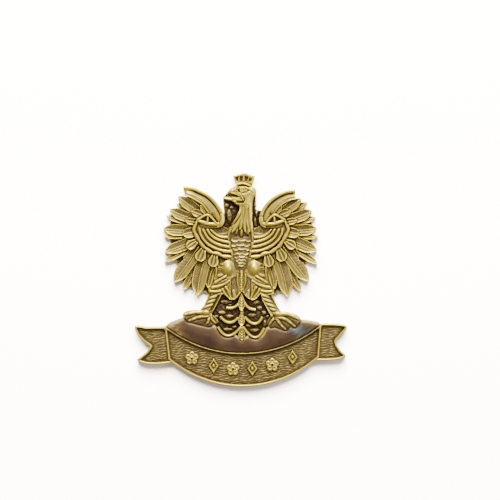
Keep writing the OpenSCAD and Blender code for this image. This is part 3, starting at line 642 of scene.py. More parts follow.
def lay_band(f, side):
    """The leading edge: a broad bright rim, a soft groove beside it and a smooth inner field."""
    line = smooth_line(BAND[side], 5)
    t = np.linspace(0, 1, len(line))
    long = line[:int(0.84 * len(line))]
    along = t[:len(long)]
    wide = 1.6 + 1.5 * along
    field = np.vstack([beside(long, side, 0.35), beside(long, side, wide)[::-1]])
    fill(f, field, PLATE + 1.15, tone=0.02)
    part, d = f.by_outline(field, 0.4)
    f.height[part] += 0.2 * dome(1 - np.clip(-d / 1.0, 0, 1)) * step(-d)
    ridge = beside(long, side, 1.05 + 0.45 * along)[:int(0.5 * len(line))]
    lay_stroke(f, ridge, 0.17, PLATE + 1.2, 0.22, (1.0, 0.4), groove=0.1, power=1.4, tone=0.1)
    lay_stroke(f, beside(long, side, wide)[:int(0.5 * len(line))], 0.17, PLATE + 1.15, 0.25,
               (1.0, 0.8), groove=0.1, power=1.4, tone=0.1)
    bed = smooth_line(BAND[side][:9], 5)
    lay_stroke(f, bed, 0.5, WING - 0.75, 0.35, (0.95, 1.0), groove=0.0)
    groove = beside(long, side, 0.56)[2:int(0.6 * len(line))]
    part, d, along = f.by_line(groove, 0.9)
    fade = step(0.75 - along, 0.5)
    f.height[part] -= 0.2 * bell(d, 0.3) * fade
    f.tone[part] -= 0.2 * bell(d, 0.34) * fade
    lay_stroke(f, beside(line, side, -0.12), 0.36, WING - 0.45, 0.45, (1.0, 1.1), 0.08, 1.0, tone=0.1)
    lay_stroke(f, smooth_line(BAND[side][6:], 5), 0.5, WING - 0.65, 0.4, (0.8, 0.9), 0.1, tone=0.05)


def lay_shoulder(f, side):
    """The shoulder: a peaked ridge over two dark windows, and a smooth round ledge below them."""
    ledge = [(-8.9, 12.6), (-8.0, 12.25), (-6.8, 11.95), (-5.6, 11.9), (-4.9, 11.95)]
    under = [(-8.4, 11.7), (-7.2, 11.3), (-5.6, 11.35)]
    lay_bar(f, side, under, 0.4, PLATE + 0.7, 0.35, groove=0.1, tone=-0.08)
    for window in ([(-9.0, 12.8), (-8.2, 13.3), (-7.3, 13.7), (-7.0, 12.9), (-7.3, 12.4)],
                   [(-7.0, 13.7), (-5.7, 12.5), (-6.9, 12.3)]):
        fill(f, on_side(window, side), PLATE + 0.8, tone=-0.22)
    lay_bar(f, side, ledge, 0.42, PLATE + 1.1, 0.5, groove=0.08, tone=0.05)
    roof = [(-9.2, 12.8), (-8.2, 13.4), (-7.2, 13.85), (-6.5, 13.5), (-5.8, 12.8), (-5.3, 12.1)]
    lay_bar(f, side, roof, 0.26, PLATE + 1.25, 0.4, groove=0.08, tone=0.1)
    post = on_side([(-7.05, 13.3), (-7.1, 12.3)], side)
    lay_stroke(f, np.array(post), 0.24, PLATE + 1.15, 0.3, groove=0.05, tone=0.12)


def torso_field():
    f = piece_field([BODY_RING], PLATE + 0.75)
    f.height += 0.3 * dome(np.clip(f.x / 7.5, -1, 1)) + 0.06 * ripple(f.z, f.x, 0.7)
    f.tone += 0.02 + 0.08 * ripple(f.z, f.x, 0.9)
    for side in (-1, 1):
        lay_thigh(f, side)
    for line, half in (([(-0.75, 1.2), (-0.75, -0.6), (-0.2, -2.2)], 0.24),
                       ([(0.95, 1.2), (0.9, -0.6), (0.35, -2.2)], 0.24),
                       ([(0.1, 2.4), (0.1, 0.0), (0.1, -2.4)], 0.4)):
        lay_bar(f, AS_DRAWN, line, half, BODY - 0.95, 0.5, (1.1, 0.6), 0.1, tone=0.02)
    for z in np.arange(-2.0, 2.3, 0.5):
        add_boss(f, (0.1 + 0.08 * math.sin(9 * z), z), (0.36, 0.2), 0.16)
    chest = smooth_line([(-1.0, 2.3), (1.1, 2.3), (1.7, 4.6), (2.2, 6.5), (2.4, 10.8), (-2.6, 10.8),
                         (-2.3, 6.5), (-1.6, 4.6)], 4, closed=True)
    fill(f, chest, BODY - 0.65, tone=-0.4)
    for z, reach, pitch in CHEST_ROWS:
        lay_row(f, z, reach, pitch)
    hollow = [(-1.4, 9.2), (-1.1, 10.2), (-0.2, 10.7), (0.5, 10.7), (1.2, 10.0), (1.6, 9.1),
              (0.7, 9.25), (0.0, 8.95), (-0.7, 9.25)]
    fill(f, hollow, BODY - 0.85, tone=-0.5, texture=0.05)
    for line in ([(-2.2, 10.8), (-2.65, 9.6), (-2.6, 8.3)], [(2.3, 10.4), (2.45, 9.4), (2.4, 8.3)],
                 [(-2.5, 7.9), (-2.4, 7.2), (-2.2, 6.6)], [(2.4, 7.8), (2.3, 7.1), (2.1, 6.5)],
                 [(-2.1, 6.2), (-1.9, 5.6), (-1.8, 5.0)], [(2.05, 6.1), (1.95, 5.5), (1.8, 4.9)]):
        lay_bar(f, AS_DRAWN, line, 0.3, BODY - 0.8, 0.36, (1.2, 0.6), groove=0.1)
    return f


def lay_row(f, z, reach, pitch):
    """A row of scales, highest along its scalloped lower edge."""
    part = f.near([(-reach, z - 0.5), (reach, z + 1.6)], 0.3)
    x, up = f.x[part], f.z[part] - z
    sway = 0.25 * np.sin(3.1 * z)
    edge = up + 0.3 * np.abs(np.cos(np.pi * (x - sway) / pitch)) ** 0.8 - 0.15 * bell(x - sway, 0.5)
    width = np.minimum(edge, reach - np.abs(x)) * step(1.6 - up, 0.2)
    crest = 0.36 * np.exp(-np.clip(edge, 0, 9) / 0.26) * (0.75 + 0.25 * np.cos(2.6 * x + 5.0 * z))
    height = BODY - 0.55 + crest - 0.12 * (x / reach) ** 2
    f.height[part] -= 0.1 * bell(np.minimum(edge, 0), 0.16) * step(-edge) * step(reach - np.abs(x))
    f.lay(part, step(width), height, 0.04 * bell(edge - 0.1, 0.16) - 0.42 * step(edge - 0.3, 0.2))


def lay_thigh(f, side):
    """A thigh: a smooth swelling, feathers that sweep out from it and a pocket beside the tail."""
    pocket = [(-2.3, -0.5), (-2.4, -2.4), (-2.2, -3.7), (-1.5, -4.0), (-0.8, -3.3), (-0.6, -1.8),
              (-0.9, 0.2), (-1.6, 0.6)]
    ring = smooth_line(on_side(pocket, side), 4, closed=True)
    fill(f, ring, PLATE + 0.85, -0.22, 0.05)
    lay_stroke(f, np.array(on_side([(-1.6, -2.3), (-1.4, -3.5)], side)), 0.5, PLATE + 0.9, 0.25,
               (0.7, 0.8), groove=0.0, tone=-0.05)
    for pocket in ([(-5.3, 2.1), (-3.9, 2.1), (-4.0, 1.3), (-5.1, 1.1)],
                   [(-5.2, 0.5), (-3.6, 0.9), (-3.0, 0.3), (-4.9, -0.3)]):
        fill(f, on_side(pocket, side), PLATE + 0.85, tone=-0.14)
    for line, half, taper in THIGH_BARS:
        lay_bar(f, side, line, half, PLATE + 0.95, 0.42, taper, groove=0.14, power=1.2, tone=0.02)
    lip = [(-2.25, -0.4), (-2.35, -2.2), (-2.2, -3.5), (-1.5, -4.0), (-0.8, -3.4), (-0.3, -2.6)]
    lay_bar(f, side, lip, 0.17, PLATE + 1.0, 0.35, (0.6, 1.1), groove=0.1)
    soft_boss(f, (side * 2.75, 2.55), (1.2, 1.5), BODY, softness=0.7, droop=0.7, tone=0.2)


def head_field():
    f = piece_field([HEAD_RING] + [leaf_outline(q) for q in LANCES], PLATE + 0.8)
    f.height += inflate(f, HEAD - PLATE - 1.0, 1.5)
    lower = step(14.2 - f.z, 1.5)
    f.height -= 0.15 * lower
    f.tone += 0.14 - 0.3 * lower
    for line in STRANDS:
        lay_strand(f, smooth_line(line, 6))
    lay_beak(f)
    lay_eye(f)
    return f


def lay_strand(f, curve):
    """A lock of the neck: it swells, narrows to a tip and rises out of the neck at its root."""
    part, d, t = f.by_line(curve, 0.9)
    w = 0.42 * (0.85 + 0.35 * np.sin(np.pi * t)) * dome(np.clip((t - 0.6) / 0.42, 0, 1)) ** 0.7
    rise = step(t - 0.12, 0.3)
    height = HEAD - 0.75 + 0.36 * dome(np.clip(d / np.maximum(w, 1e-3), 0, 1)) - 0.15 * t
    f.height[part] -= 0.2 * bell(np.minimum(w - d, 0), 0.14) * step(d - w) * rise
    f.lay(part, step(w - d) * rise, height, 0.14)


def lay_beak(f):
    """The open beak: dark mouth and throat, lower half, hooked upper half, cheek and nostril."""
    mouth = [(-3.1, 18.7), (-2.0, 18.3), (-0.9, 18.0), (-0.2, 17.6), (-1.2, 17.6), (-3.6, 17.75)]
    throat = [(-1.0, 16.75), (0.5, 16.8), (0.55, 16.4), (-0.9, 16.3)]
    fill(f, mouth, PLATE + 0.7, tone=-0.45)
    fill(f, throat, PLATE + 1.0, tone=-0.45)
    lower = [(0.35, 17.0), (-1.2, 17.15), (-2.6, 17.2), (-3.7, 17.4)]
    upper = [(-0.8, 19.1), (-1.9, 18.95), (-2.8, 18.55)]
    lay_bar(f, AS_DRAWN, lower, 0.36, HEAD - 1.1, 0.45, taper=(1.1, 0.4), tone=0.08)
    lay_bar(f, AS_DRAWN, upper, 0.5, HEAD - 1.0, 0.5, taper=(1.1, 0.4), tone=0.08)
    for cheek in ([(-1.5, 19.3), (-1.0, 18.4), (-0.2, 17.9)],
                  [(-0.9, 19.0), (-0.4, 18.4), (0.15, 17.7), (0.5, 17.0)]):
        lay_bar(f, AS_DRAWN, cheek, 0.2, HEAD - 0.7, 0.35, (0.7, 1.1), 0.14, tone=0.1)
    nostril = (-0.9, 19.45)
    add_boss(f, nostril, (0.26, 0.2), -0.4)


def lay_eye(f):
    """The eye: a crease under it, the brow, a ring and the ball."""
    crease = [(-0.6, 19.0), (-0.1, 18.6), (0.5, 18.45), (1.2, 18.7), (1.6, 19.1)]
    brow = [(-0.8, 19.35), (-0.1, 19.65), (0.8, 19.65), (1.6, 19.35), (2.6, 18.7)]
    x, z = EYE
    ring = [(x + 0.52 * math.cos(a), z + 0.34 * math.sin(a)) for a in np.linspace(0, 6.3, 17)]
    add_line(f, smooth_line(crease, 5), 0.16, -0.32)
    lay_bar(f, AS_DRAWN, brow, 0.2, HEAD - 0.55, 0.4, (0.8, 1.2), groove=0.12, tone=0.1)
    lay_stroke(f, np.array(ring), 0.13, HEAD - 0.5, 0.3, groove=0.12, tone=0.05)
    lay_boss(f, EYE, (0.24, 0.2), HEAD - 0.5, 0.35)


def crown_field():
    f = piece_field([CROWN_OUTLINE], PLATE + 1.15)
    f.height += inflate(f, 0.25, 0.35)
    for pocket in ([(-1.3, 21.75), (-0.55, 21.95), (-0.6, 21.0), (-0.95, 20.95)],
                   [(-0.35, 21.95), (0.35, 21.95), (0.25, 21.0), (-0.25, 20.9)],
                   [(0.75, 21.95), (1.55, 21.85), (1.25, 20.9), (0.8, 20.95)],
                   [(1.75, 21.6), (2.3, 21.4), (1.95, 20.9), (1.5, 20.8)],
                   [(1.9, 20.4), (2.25, 20.4), (2.2, 19.95), (1.9, 19.95)]):
        fill(f, pocket, PLATE + 0.95, tone=-0.4)
    line = smooth_line([(-1.1, 20.25), (0.0, 20.55), (1.0, 20.4), (2.0, 20.0)], 4)
    lay_stroke(f, line, 0.24, BODY - 0.5, 0.4, groove=0.2, tone=0.12)
    lay_stroke(f, line + [0, -0.48], 0.1, BODY - 0.8, 0.1, groove=0.1, tone=-0.2)
    for x, z in ((-0.9, 22.15), (0.0, 22.3), (0.6, 22.5), (1.3, 22.4), (2.3, 22.0), (-1.45, 22.1)):
        add_boss(f, (x, z), (0.28, 0.26), 0.25)
    return f


def leg_field(side):
    f = piece_field(leg_outlines(side), PLATE + 0.55)
    f.exclude(BODY_RING)
    f.height += inflate(f, 0.15, 0.4)
    f.tone -= 0.42
    edge = {-1: [(-4.3, -3.2), (-5.3, -5.2), (-6.3, -7.0)], 1: [(4.5, -4.0), (5.3, -5.7), (6.4, -7.4)]}
    half = {-1: 0.14, 1: 0.5}
    lay_bar(f, AS_DRAWN, edge[side], half[side], PLATE + 0.8, 0.25, groove=0.05, power=0.6)
    shank = {-1: [(-5.6, -2.9), (-6.6, -4.9), (-7.7, -6.6)], 1: [(4.9, -3.1), (6.2, -5.1), (7.6, -7.0)]}
    line = smooth_line(shank[side], 6)
    part, d, _ = f.by_line(line, 1.6)
    cords = np.abs(np.sin(np.pi * (0.25 * side * f.x[part] + 0.97 * f.z[part]) / 0.8)) ** 0.7
    round_height = LEG - 0.75 + 0.35 * dome(np.clip(d / 0.85, 0, 1)) + 0.3 * cords
    f.height[part] -= 0.2 * bell(np.maximum(d - 0.75, 0), 0.2)
    f.lay(part, step(0.75 - d, 0.15), round_height, -0.35 + 0.45 * cords * bell(d, 0.45))
    for line, half in TOES[side][::-1]:
        curve = smooth_line(line, 6)
        lay_stroke(f, curve, half, LEG - 0.8, 0.45, (1.2, 0.65), groove=0.2, power=1.3, tone=-0.05)
        for k in np.linspace(0.15, 0.8, 3):
            add_boss(f, curve[int(k * (len(curve) - 1))], (0.4, 0.34), 0.1)
    ankle = TOES[side][0][0][0]
    soft_boss(f, (ankle[0], ankle[1] + 0.1), (0.85, 0.6), LEG - 0.15, softness=0.4)
    return f


def tail_field():
    f = piece_field(tail_outlines(), PLATE + 0.5)
    f.exclude(BODY_RING, PANEL, *leg_outlines(-1), *leg_outlines(1))
    for c in CURLS:
        lay_stroke(f, bezier(c), CURL_W / 2 + 0.02, TAIL - 0.7, 0.6, (0.9, 0.95), power=1.2, tone=0.08)
    for a, b in zip(SPINE, SPINE[1:]):
        leaf = (b, a, SPINE_W, 0)
        part = f.near(leaf_outline(leaf), 0.4)
        t, offset, half, inside, length = leaf_coordinates(f.x[part], f.z[part], leaf)
        chevrons = np.sin(2 * np.pi * (t * length + 1.0 * np.abs(offset)) / 0.55)
        height = TAIL - 0.35 + 0.22 * bell(inside - 0.14, 0.12)
        height += 0.08 * chevrons * step(inside - 0.3, 0.1) + 0.14 * bell(offset, 0.12)
        f.lay(part, step(inside), height, 0.1 * chevrons * step(inside - 0.3, 0.1) - 0.05)
    return f


def mound_field():
    f = piece_field([MOUND_GROUND], PLATE + 0.55)
    f.exclude(*leg_outlines(-1), *leg_outlines(1), *tail_outlines(), PANEL)
    f.height += inflate(f, 0.3, 0.35) + inflate(f, MOUND - PLATE - 1.05, 2.6)
    f.height += 0.03 * np.sin(f.x * 0.8 + 0.5 * f.z) + 0.02 * np.sin(f.x * 1.7 - f.z * 1.1)
    d, _ = line_distance(f.x, f.z, smooth_line(MOUND_EDGE, 4))
    f.tone += 0.7 * bell(d - 0.12, 0.16) + 0.1 * bell(d, 0.9)
    f.tone += (0.16 + 0.1 * ripple(f.x, f.z, 1.3)) * step(-13.2 - 0.6 * (f.z + 9.0) - f.x, 1.2)
    return f


def rimmed(f, field_height, rim_height, rim=0.46):
    """A round rim along the piece's whole edge, and a grained field inside it with painted shade along
    the rim's inner side.
    """
    grain = ripple(f.x, f.z, 0.52)
    f.height[:] = field_height + 0.11 * grain
    f.tone[:] = -0.38 + 0.44 * grain
    across = (-f.edge - rim / 2) / (rim / 2)
    gap = np.maximum(-f.edge - rim, 0)
    f.height -= 0.13 * bell(gap, 0.3)
    # painted shade in a soft band along the inside of the rim
    f.tone -= 0.2 * bell(gap, 0.6)
    top = rim_height - 0.3 + 0.3 * dome(np.clip(across, -1, 1)) ** 1.2
    f.lay(EVERYWHERE, step(rim + f.edge), top, -0.16)


def panel_field():
    f = piece_field([PANEL])
    depth = arc_z(TOP_ARC, np.clip(f.x, -19, 19)) - f.z
    sides = np.minimum(f.x - PANEL_LEFT[0], PANEL_RIGHT[0] - f.x)
    rim = 0.46 - 0.2 * bell(depth, 0.6) * step(sides - 0.8, 0.4)
    rimmed(f, SCROLL - 0.6, SCROLL, rim)
    # painted shade along the top of the panel, on and just under its upper rim
    f.tone -= 0.34 * bell(depth, 0.6) * step(sides - 0.8, 0.4)
    # painted shadows round the ornaments, set a little below each one as if cast by light from above
    for _, outlines in ornament_outlines():
        for outline in outlines:
            part = f.near(outline, 1.4)
            d = polygon_distance(f.x[part], f.z[part] + 0.12, outline)
            f.tone[part] -= 0.25 * bell(np.maximum(d, 0), 0.3)
    return f


def fork_field(side):
    f = piece_field([FORK[side]])
    rimmed(f, SCROLL - 0.65, SCROLL - 0.05)
    f.exclude(PANEL)
    return f


def plate_field():
    """The backing plate: its front shows as rough dark webs between the other pieces."""
    f = Field([GRID_ORIGIN, GRID_END], margin=0.0, ground=PLATE - 0.05)
    outlines = wing_outlines(-1) + wing_outlines(1) + leg_outlines(-1) + leg_outlines(1)
    outlines += [WING_WEB, mirrored(WING_WEB), BODY_RING, HEAD_RING, CROWN_OUTLINE, NECK_WEB,
                 LEG_WEB, MOUND_GROUND, PANEL, FORK[-1], FORK[1]]
    f.include(*outlines)
    for x, z, rx, rz in WEB_LUMPS:
        add_boss(f, (x, z), (rx, rz), 0.42)
    f.height += 0.05 * np.sin(5.1 * f.x + 2.0 * np.sin(3.0 * f.z)) * np.sin(4.3 * f.z + f.x)
    return f


def ornament_outlines():
    """Rosettes of petals and lozenges by turns, as (centre, outlines)."""
    out = []
    for i, (x, z) in enumerate(ORNAMENTS):
        if i % 2 == 0:
            petals = []
            for a in np.radians(90 + 72 * np.arange(PETALS)):
                ring = np.linspace(0, 2 * np.pi, 20, endpoint=False)
                petals.append(np.column_stack([x + PETAL_ORBIT * math.cos(a) + PETAL_R * np.cos(ring),
                                               z + PETAL_ORBIT * math.sin(a) + PETAL_R * np.sin(ring)]))
            out.append(((x, z), petals))
        else:
            w, h = LOZENGE
            out.append(((x, z), [np.array([(x - w, z), (x, z - h), (x + w, z), (x, z + h)])]))
    return out


def ornament_field():
    groups = ornament_outlines()
    f = piece_field([o for _, outlines in groups for o in outlines], SCROLL - 0.45)
    for (cx, cz), outlines in groups:
        if len(outlines) > 1:
            for outline in outlines:
                lay_boss(f, outline.mean(0), (PETAL_R, PETAL_R), SCROLL - 0.42, 0.34)
                add_boss(f, outline.mean(0), (0.3, 0.3), -0.22)
            lay_boss(f, (cx, cz), (0.42, 0.42), SCROLL - 0.3, 0.3)
        else:
            w, h = LOZENGE
            part = f.near(outlines[0], 0.4)
            facet = 1 - np.abs(f.x[part] - cx) / w - np.abs(f.z[part] - cz) / h
            f.lay(part, step(facet, 0.1), SCROLL - 0.35 + 0.35 * bell(facet - 0.25, 0.2))
            f.tone[part] -= 0.25 * step(facet - 0.5, 0.15)
            lay_boss(f, (cx, cz), (0.3, 0.42), SCROLL - 0.35, 0.35)
    return f


# ---- meshes ----

def at_corners(grid):
    """The grid's values at the four corners of every cell."""
    return np.stack([grid[:-1, :-1], grid[:-1, 1:], grid[1:, 1:], grid[1:, :-1]], -1)


def drawn_onto_edge(f):
    """Which points the mesh keeps, and the places of all, those near the outline moved onto it."""
    gz, gx = np.gradient(f.edge, CELL)
    size = np.maximum(np.hypot(gx, gz), 1e-6)
    near = np.abs(f.edge) < 0.55 * CELL
    x = np.where(near, f.x - f.edge * gx / size, f.x)
    z = np.where(near, f.z - f.edge * gz / size, f.z)
    return (f.edge < 0) | near, x.ravel(), z.ravel()


def cell_faces(f, kept):
    """Quads where four corners are kept and triangles where three are."""
    corners = at_corners(np.arange(f.x.size).reshape(f.x.shape))
    in_cell = at_corners(kept)
    has_core = at_corners(f.edge < -0.2 * CELL).any(-1)
    count = in_cell.sum(-1)
    three = (count == 3) & has_core
    return corners[(count == 4) & has_core], corners[three][in_cell[three]].reshape(-1, 3)


def border_edges(quads, triangles, total):
    """The edges that one face alone uses, in that face's direction."""
    directed = np.vstack([np.column_stack([p[:, i], p[:, (i + 1) % p.shape[1]]])
                          for p in (quads, triangles) for i in range(p.shape[1])])
    forth = directed[:, 0] * total + directed[:, 1]
    back = directed[:, 1] * total + directed[:, 0]
    return directed[~np.isin(forth, back)]


def pocket_rings(pockets, base):
    """Each pocket's mouth and bottom as rings of points."""
    ring = np.linspace(0, 2 * np.pi, POCKET_SIDES, endpoint=False)
    return [np.column_stack([x + r * np.cos(ring), np.full(POCKET_SIDES, -y), z + r * np.sin(ring)])
            for x, z, r, depth in pockets for y in (base, base + depth)]


def back_faces(border, x, z, low, points, pocket_start):
    """Faces that close the back, with the pockets whose points begin at pocket_start sunk in it."""
    loops = border_loops(border)
    rings = [[Vector((x[v], z[v], 0)) for v in loop] for loop in loops]
    order = [low[v] for loop in loops for v in loop]
    faces = []
    for start in range(pocket_start, len(points), 2 * POCKET_SIDES):
        mouth = start + np.arange(POCKET_SIDES)
        deep = mouth + POCKET_SIDES
        rings.append([Vector((points[v][0] / MM, points[v][2] / MM, 0)) for v in mouth])
        order += mouth.tolist()
        faces += np.column_stack([mouth, deep, np.roll(deep, -1), np.roll(mouth, -1)]).tolist()
        faces.append(deep[::-1].tolist())
    order = np.array(order)
    return faces + [turned(order[list(corners)], points) for corners in tessellate_polygon(rings)]


def sharpen(mesh, pairs):
    """Makes the edges between these pairs of points sharp."""
    total = len(mesh.vertices)
    ends = np.zeros(len(mesh.edges) * 2, int)
    mesh.edges.foreach_get("vertices", ends)
    ends = np.sort(ends.reshape(-1, 2), axis=1)
    pairs = np.sort(pairs, axis=1)
    sharp = np.isin(ends[:, 0] * total + ends[:, 1], pairs[:, 0] * total + pairs[:, 1])
    mesh.attributes.new("sharp_edge", "BOOLEAN", "EDGE").data.foreach_set("value", sharp)


def relief_mesh(name, f, patina_and_shade, base, foot_patina, pockets=()):
    """A closed mesh under a height field, its border drawn onto the outline, down to base.

    Pockets are round recesses in its back, as (x, z, radius, depth).
    """
    kept, x, z = drawn_onto_edge(f)
    quads, triangles = cell_faces(f, kept)
    border = border_edges(quads, triangles, f.x.size)
    used = np.unique(np.concatenate([quads.ravel(), triangles.ravel()]))
    rim = np.unique(border)
    high, low = np.full((2, f.x.size), -1)      # each point's number on the front and at the base
    high[used] = np.arange(len(used))
    low[rim] = len(used) + np.arange(len(rim))
    front = np.maximum(f.height.ravel()[used], base + LEAST_RELIEF)
    top = np.column_stack([x[used], -front, z[used]])
    foot = np.column_stack([x[rim], np.full(len(rim), -base), z[rim]])
    points = np.vstack([top, foot] + pocket_rings(pockets, base)) * MM
    walls = np.column_stack([high[border[:, 1]], high[border[:, 0]],
                             low[border[:, 0]], low[border[:, 1]]])
    rounded = high[quads].tolist() + high[triangles].tolist() + walls.tolist()
    faces = rounded + back_faces(border, x, z, low, points, len(used) + len(rim))
    mesh = bpy.data.meshes.new(name)
    mesh.from_pydata(points.tolist(), [], faces)
    mesh.update()
    mesh.polygons.foreach_set("use_smooth", np.arange(len(faces)) < len(rounded))
    sharpen(mesh, np.vstack([high[border], low[border]]))
    shade = np.concatenate([patina_and_shade.ravel()[used], np.full(len(points) - len(used), foot_patina)])
    mesh.attributes.new("patina_and_shade", "FLOAT", "POINT").data.foreach_set("value", shade.astype(np.float32))
    piece = bpy.data.objects.new(name, mesh)
    bpy.context.scene.collection.objects.link(piece)
    return piece


def turned(triangle, points):
    """The triangle's corners in the order that faces it backwards, along +Y."""
    a, b, c = points[triangle]
    normal_y = (b - a)[2] * (c - a)[0] - (b - a)[0] * (c - a)[2]
    return [int(v) for v in (triangle if normal_y > 0 else triangle[::-1])]


def border_loops(border):
    """Closed loops of points from directed border edges."""
    after = {}
    for a, b in border.tolist():
        after.setdefault(a, []).append(b)
    loops = []
    while after:
        start = next(iter(after))
        loop, here = [], start
        while here in after:
            loop.append(here)
            nexts = after[here]
            there = nexts.pop()
            if not nexts:
                del after[here]
            here = there
            if here == start:
                break
        if len(loop) > 2:
            loops.append(loop)
    return loops


# ---- materials ----

# Colours from untouched recess to rubbed edge, as (patina, colour); on the scroll the patina value also
# carries painted shade
GILT_STOPS = [(0.0, (0.105, 0.074, 0.034)), (0.25, (0.185, 0.137, 0.050)), (0.5, (0.35, 0.270, 0.066)),
              (0.75, (0.64, 0.495, 0.085)), (1.0, (0.96, 0.80, 0.085))]
BRONZE_STOPS = [(0.0, (0.024, 0.016, 0.012)), (0.35, (0.060, 0.038, 0.024)),
                (0.6, (0.19, 0.132, 0.056)), (1.0, (0.56, 0.44, 0.17))]
BROWN_STOPS = [(0.0, (0.026, 0.011, 0.005)), (0.62, (0.040, 0.018, 0.008)),
               (0.85, (0.12, 0.066, 0.020)), (1.0, (0.44, 0.32, 0.10))]
# The painted blue-grey reflection on the mound: its streaks' ramp and its colour
PAINTED_REFLECTION_STOPS = [(0.68, (0.0, 0.0, 0.0)), (0.88, (0.85, 0.85, 0.85))]
PAINTED_REFLECTION_COLOUR = (0.075, 0.10, 0.105, 1)
RELIEF_ROUGHNESS = (0.6, 0.38)      # in a recess and on a rubbed edge


class Tree:
    """The node tree of a material or a world, with short calls for the nodes used here."""

    def __init__(self, owner):
        owner.use_nodes = True
        self.owner = owner
        self.nodes = owner.node_tree.nodes
        self.links = owner.node_tree.links

    def feed(self, socket, value):
        """Sets an input, or links an output to it."""
        if isinstance(value, bpy.types.NodeSocket):
            self.links.new(value, socket)
        else:
            socket.default_value = value

    def dress(self, node, **values):
        """Feeds a node's inputs by name, with _ for a space."""
        for name, value in values.items():
            self.feed(node.inputs[name.replace("_", " ")], value)

    def node(self, kind, **values):
        new = self.nodes.new("ShaderNode" + kind)
        self.dress(new, **values)
        return new

    def place(self):
        return self.node("TexCoord").outputs["Object"]

    def patina_and_shade(self):
        attribute = self.node("Attribute")
        attribute.attribute_name = "patina_and_shade"
        return attribute.outputs["Fac"]

    def noise(self, scale, detail, place):
        return self.node("TexNoise", Scale=scale, Detail=detail, Vector=place).outputs["Fac"]

    def maths(self, operation, *values):
        new = self.node("Math")
        new.operation = operation
        for socket, value in zip(new.inputs, values):
            self.feed(socket, value)
        return new.outputs[0]

    def spread(self, value, low, high):
        """A value from 0 to 1 spread over low to high."""
        return self.node("MapRange", Value=value, To_Min=low, To_Max=high).outputs["Result"]

    def bump(self, height, strength, distance):
        return self.node("Bump", Height=height, Strength=strength, Distance=distance).outputs["Normal"]

    def ramp(self, factor, stops):
        new = self.node("ValToRGB", Fac=factor)
        elements = new.color_ramp.elements
        while len(elements) < len(stops):
            elements.new(0.5)
        for element, (position, colour) in zip(elements, stops):
            element.position = position
            element.color = (*colour, 1.0)
        return new.outputs["Color"]


def relief_metal(name, stops):
    """Antique metal: dark in the recesses, bright where it is rubbed, with a fine cast grain; painted
    shade in the patina value darkens parts of the scroll.
    """
    tree = Tree(bpy.data.materials.new(name))
    place = tree.place()
    wander = tree.maths("MULTIPLY_ADD", tree.noise(900, 4, place), 0.35, -0.175)
    wear_and_shade = tree.maths("ADD", tree.patina_and_shade(), wander)
    tree.dress(tree.nodes["Principled BSDF"], Base_Color=tree.ramp(wear_and_shade, stops), Metallic=1.0,
               Roughness=tree.spread(wear_and_shade, *RELIEF_ROUGHNESS),
               Normal=tree.bump(tree.noise(4500, 3, place), 0.25, 0.00004))
    return tree.owner


def lacquer():
    """Glossy dark brown lacquer on the mound, rubbed through to gold, with a blue-grey reflection
    painted on its right-hand slope.
    """
    tree = Tree(bpy.data.materials.new("mound_brown"))
    place = tree.place()
    cloud = tree.noise(350, 5, place)
    wear_and_shade = tree.maths("ADD", tree.patina_and_shade(), tree.maths("MULTIPLY", cloud, 0.3))
    # mixes the painted reflection into the lacquer's colour
    colour = tree.node("MixRGB", Fac=painted_reflection_mask(tree, place), Color1=tree.ramp(wear_and_shade, BROWN_STOPS),
                       Color2=PAINTED_REFLECTION_COLOUR)
    tree.dress(tree.nodes["Principled BSDF"], Base_Color=colour.outputs["Color"], Metallic=0.3,
               Roughness=0.42, Coat_Weight=0.08, Coat_Roughness=0.12,
               Normal=tree.bump(cloud, 0.3, 0.00006))
    return tree.owner


def painted_reflection_mask(tree, place):
    """Where the painted blue-grey reflection lies: slanting streaks within a few millimetres of a point
    on the right-hand slope.
    """
    reach = tree.node("VectorMath")
    reach.operation = "DISTANCE"
    tree.feed(reach.inputs[0], place)
    tree.feed(reach.inputs[1], PAINTED_REFLECTION_PLACE)
    slant = tree.node("Mapping")
    slant.vector_type = "TEXTURE"
    tree.dress(slant, Vector=place, Rotation=(0.0, math.radians(-45), 0.0), Scale=(3.0, 1.0, 0.6))
    streaks = tree.noise(900, 4, slant.outputs["Vector"])
    nearness = tree.maths("SUBTRACT", 1.0, tree.maths("DIVIDE", reach.outputs["Value"], PAINTED_REFLECTION_REACH))
    painted_reflection = tree.maths("ADD", tree.maths("MULTIPLY", nearness, 0.4), streaks)
    return tree.ramp(painted_reflection, PAINTED_REFLECTION_STOPS)


def pressed_brass(name, colour, roughness, stretch):
    """Bright pressed or drawn brass with fine scratches drawn out along one direction."""
    tree = Tree(bpy.data.materials.new(name))
    place = tree.place()
    drawn_out = tree.node("Mapping", Vector=place, Scale=stretch)
    scratches = tree.noise(1200, 4, drawn_out.outputs["Vector"])
    dull = tuple(0.62 * c for c in colour)
    stained = tree.ramp(tree.noise(400, 3, place), [(0.3, dull), (0.6, colour)])
    tree.dress(tree.nodes["Principled BSDF"], Base_Color=stained, Metallic=1.0,
               Roughness=tree.spread(scratches, 0.7 * roughness, 1.5 * roughness),
               Normal=tree.bump(scratches, 0.2, 0.00003))
    return tree.owner


GILT = relief_metal("antique_gilt", GILT_STOPS)
WEB = relief_metal("plate_bronze", BRONZE_STOPS)


# ---- the front ----

def post_pockets(play=0.02):
    """The recesses in the back face that the posts' feet sit in."""
    out = []
    for side in SIDE_NAME.values():
        low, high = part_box(side + "_post")
        x, z = (low[0] + high[0]) / 2 / MM, (low[2] + high[2]) / 2 / MM
        out.append((x, z, (high[0] - low[0]) / 2 / MM + play, -low[1] / MM + play))
    return out


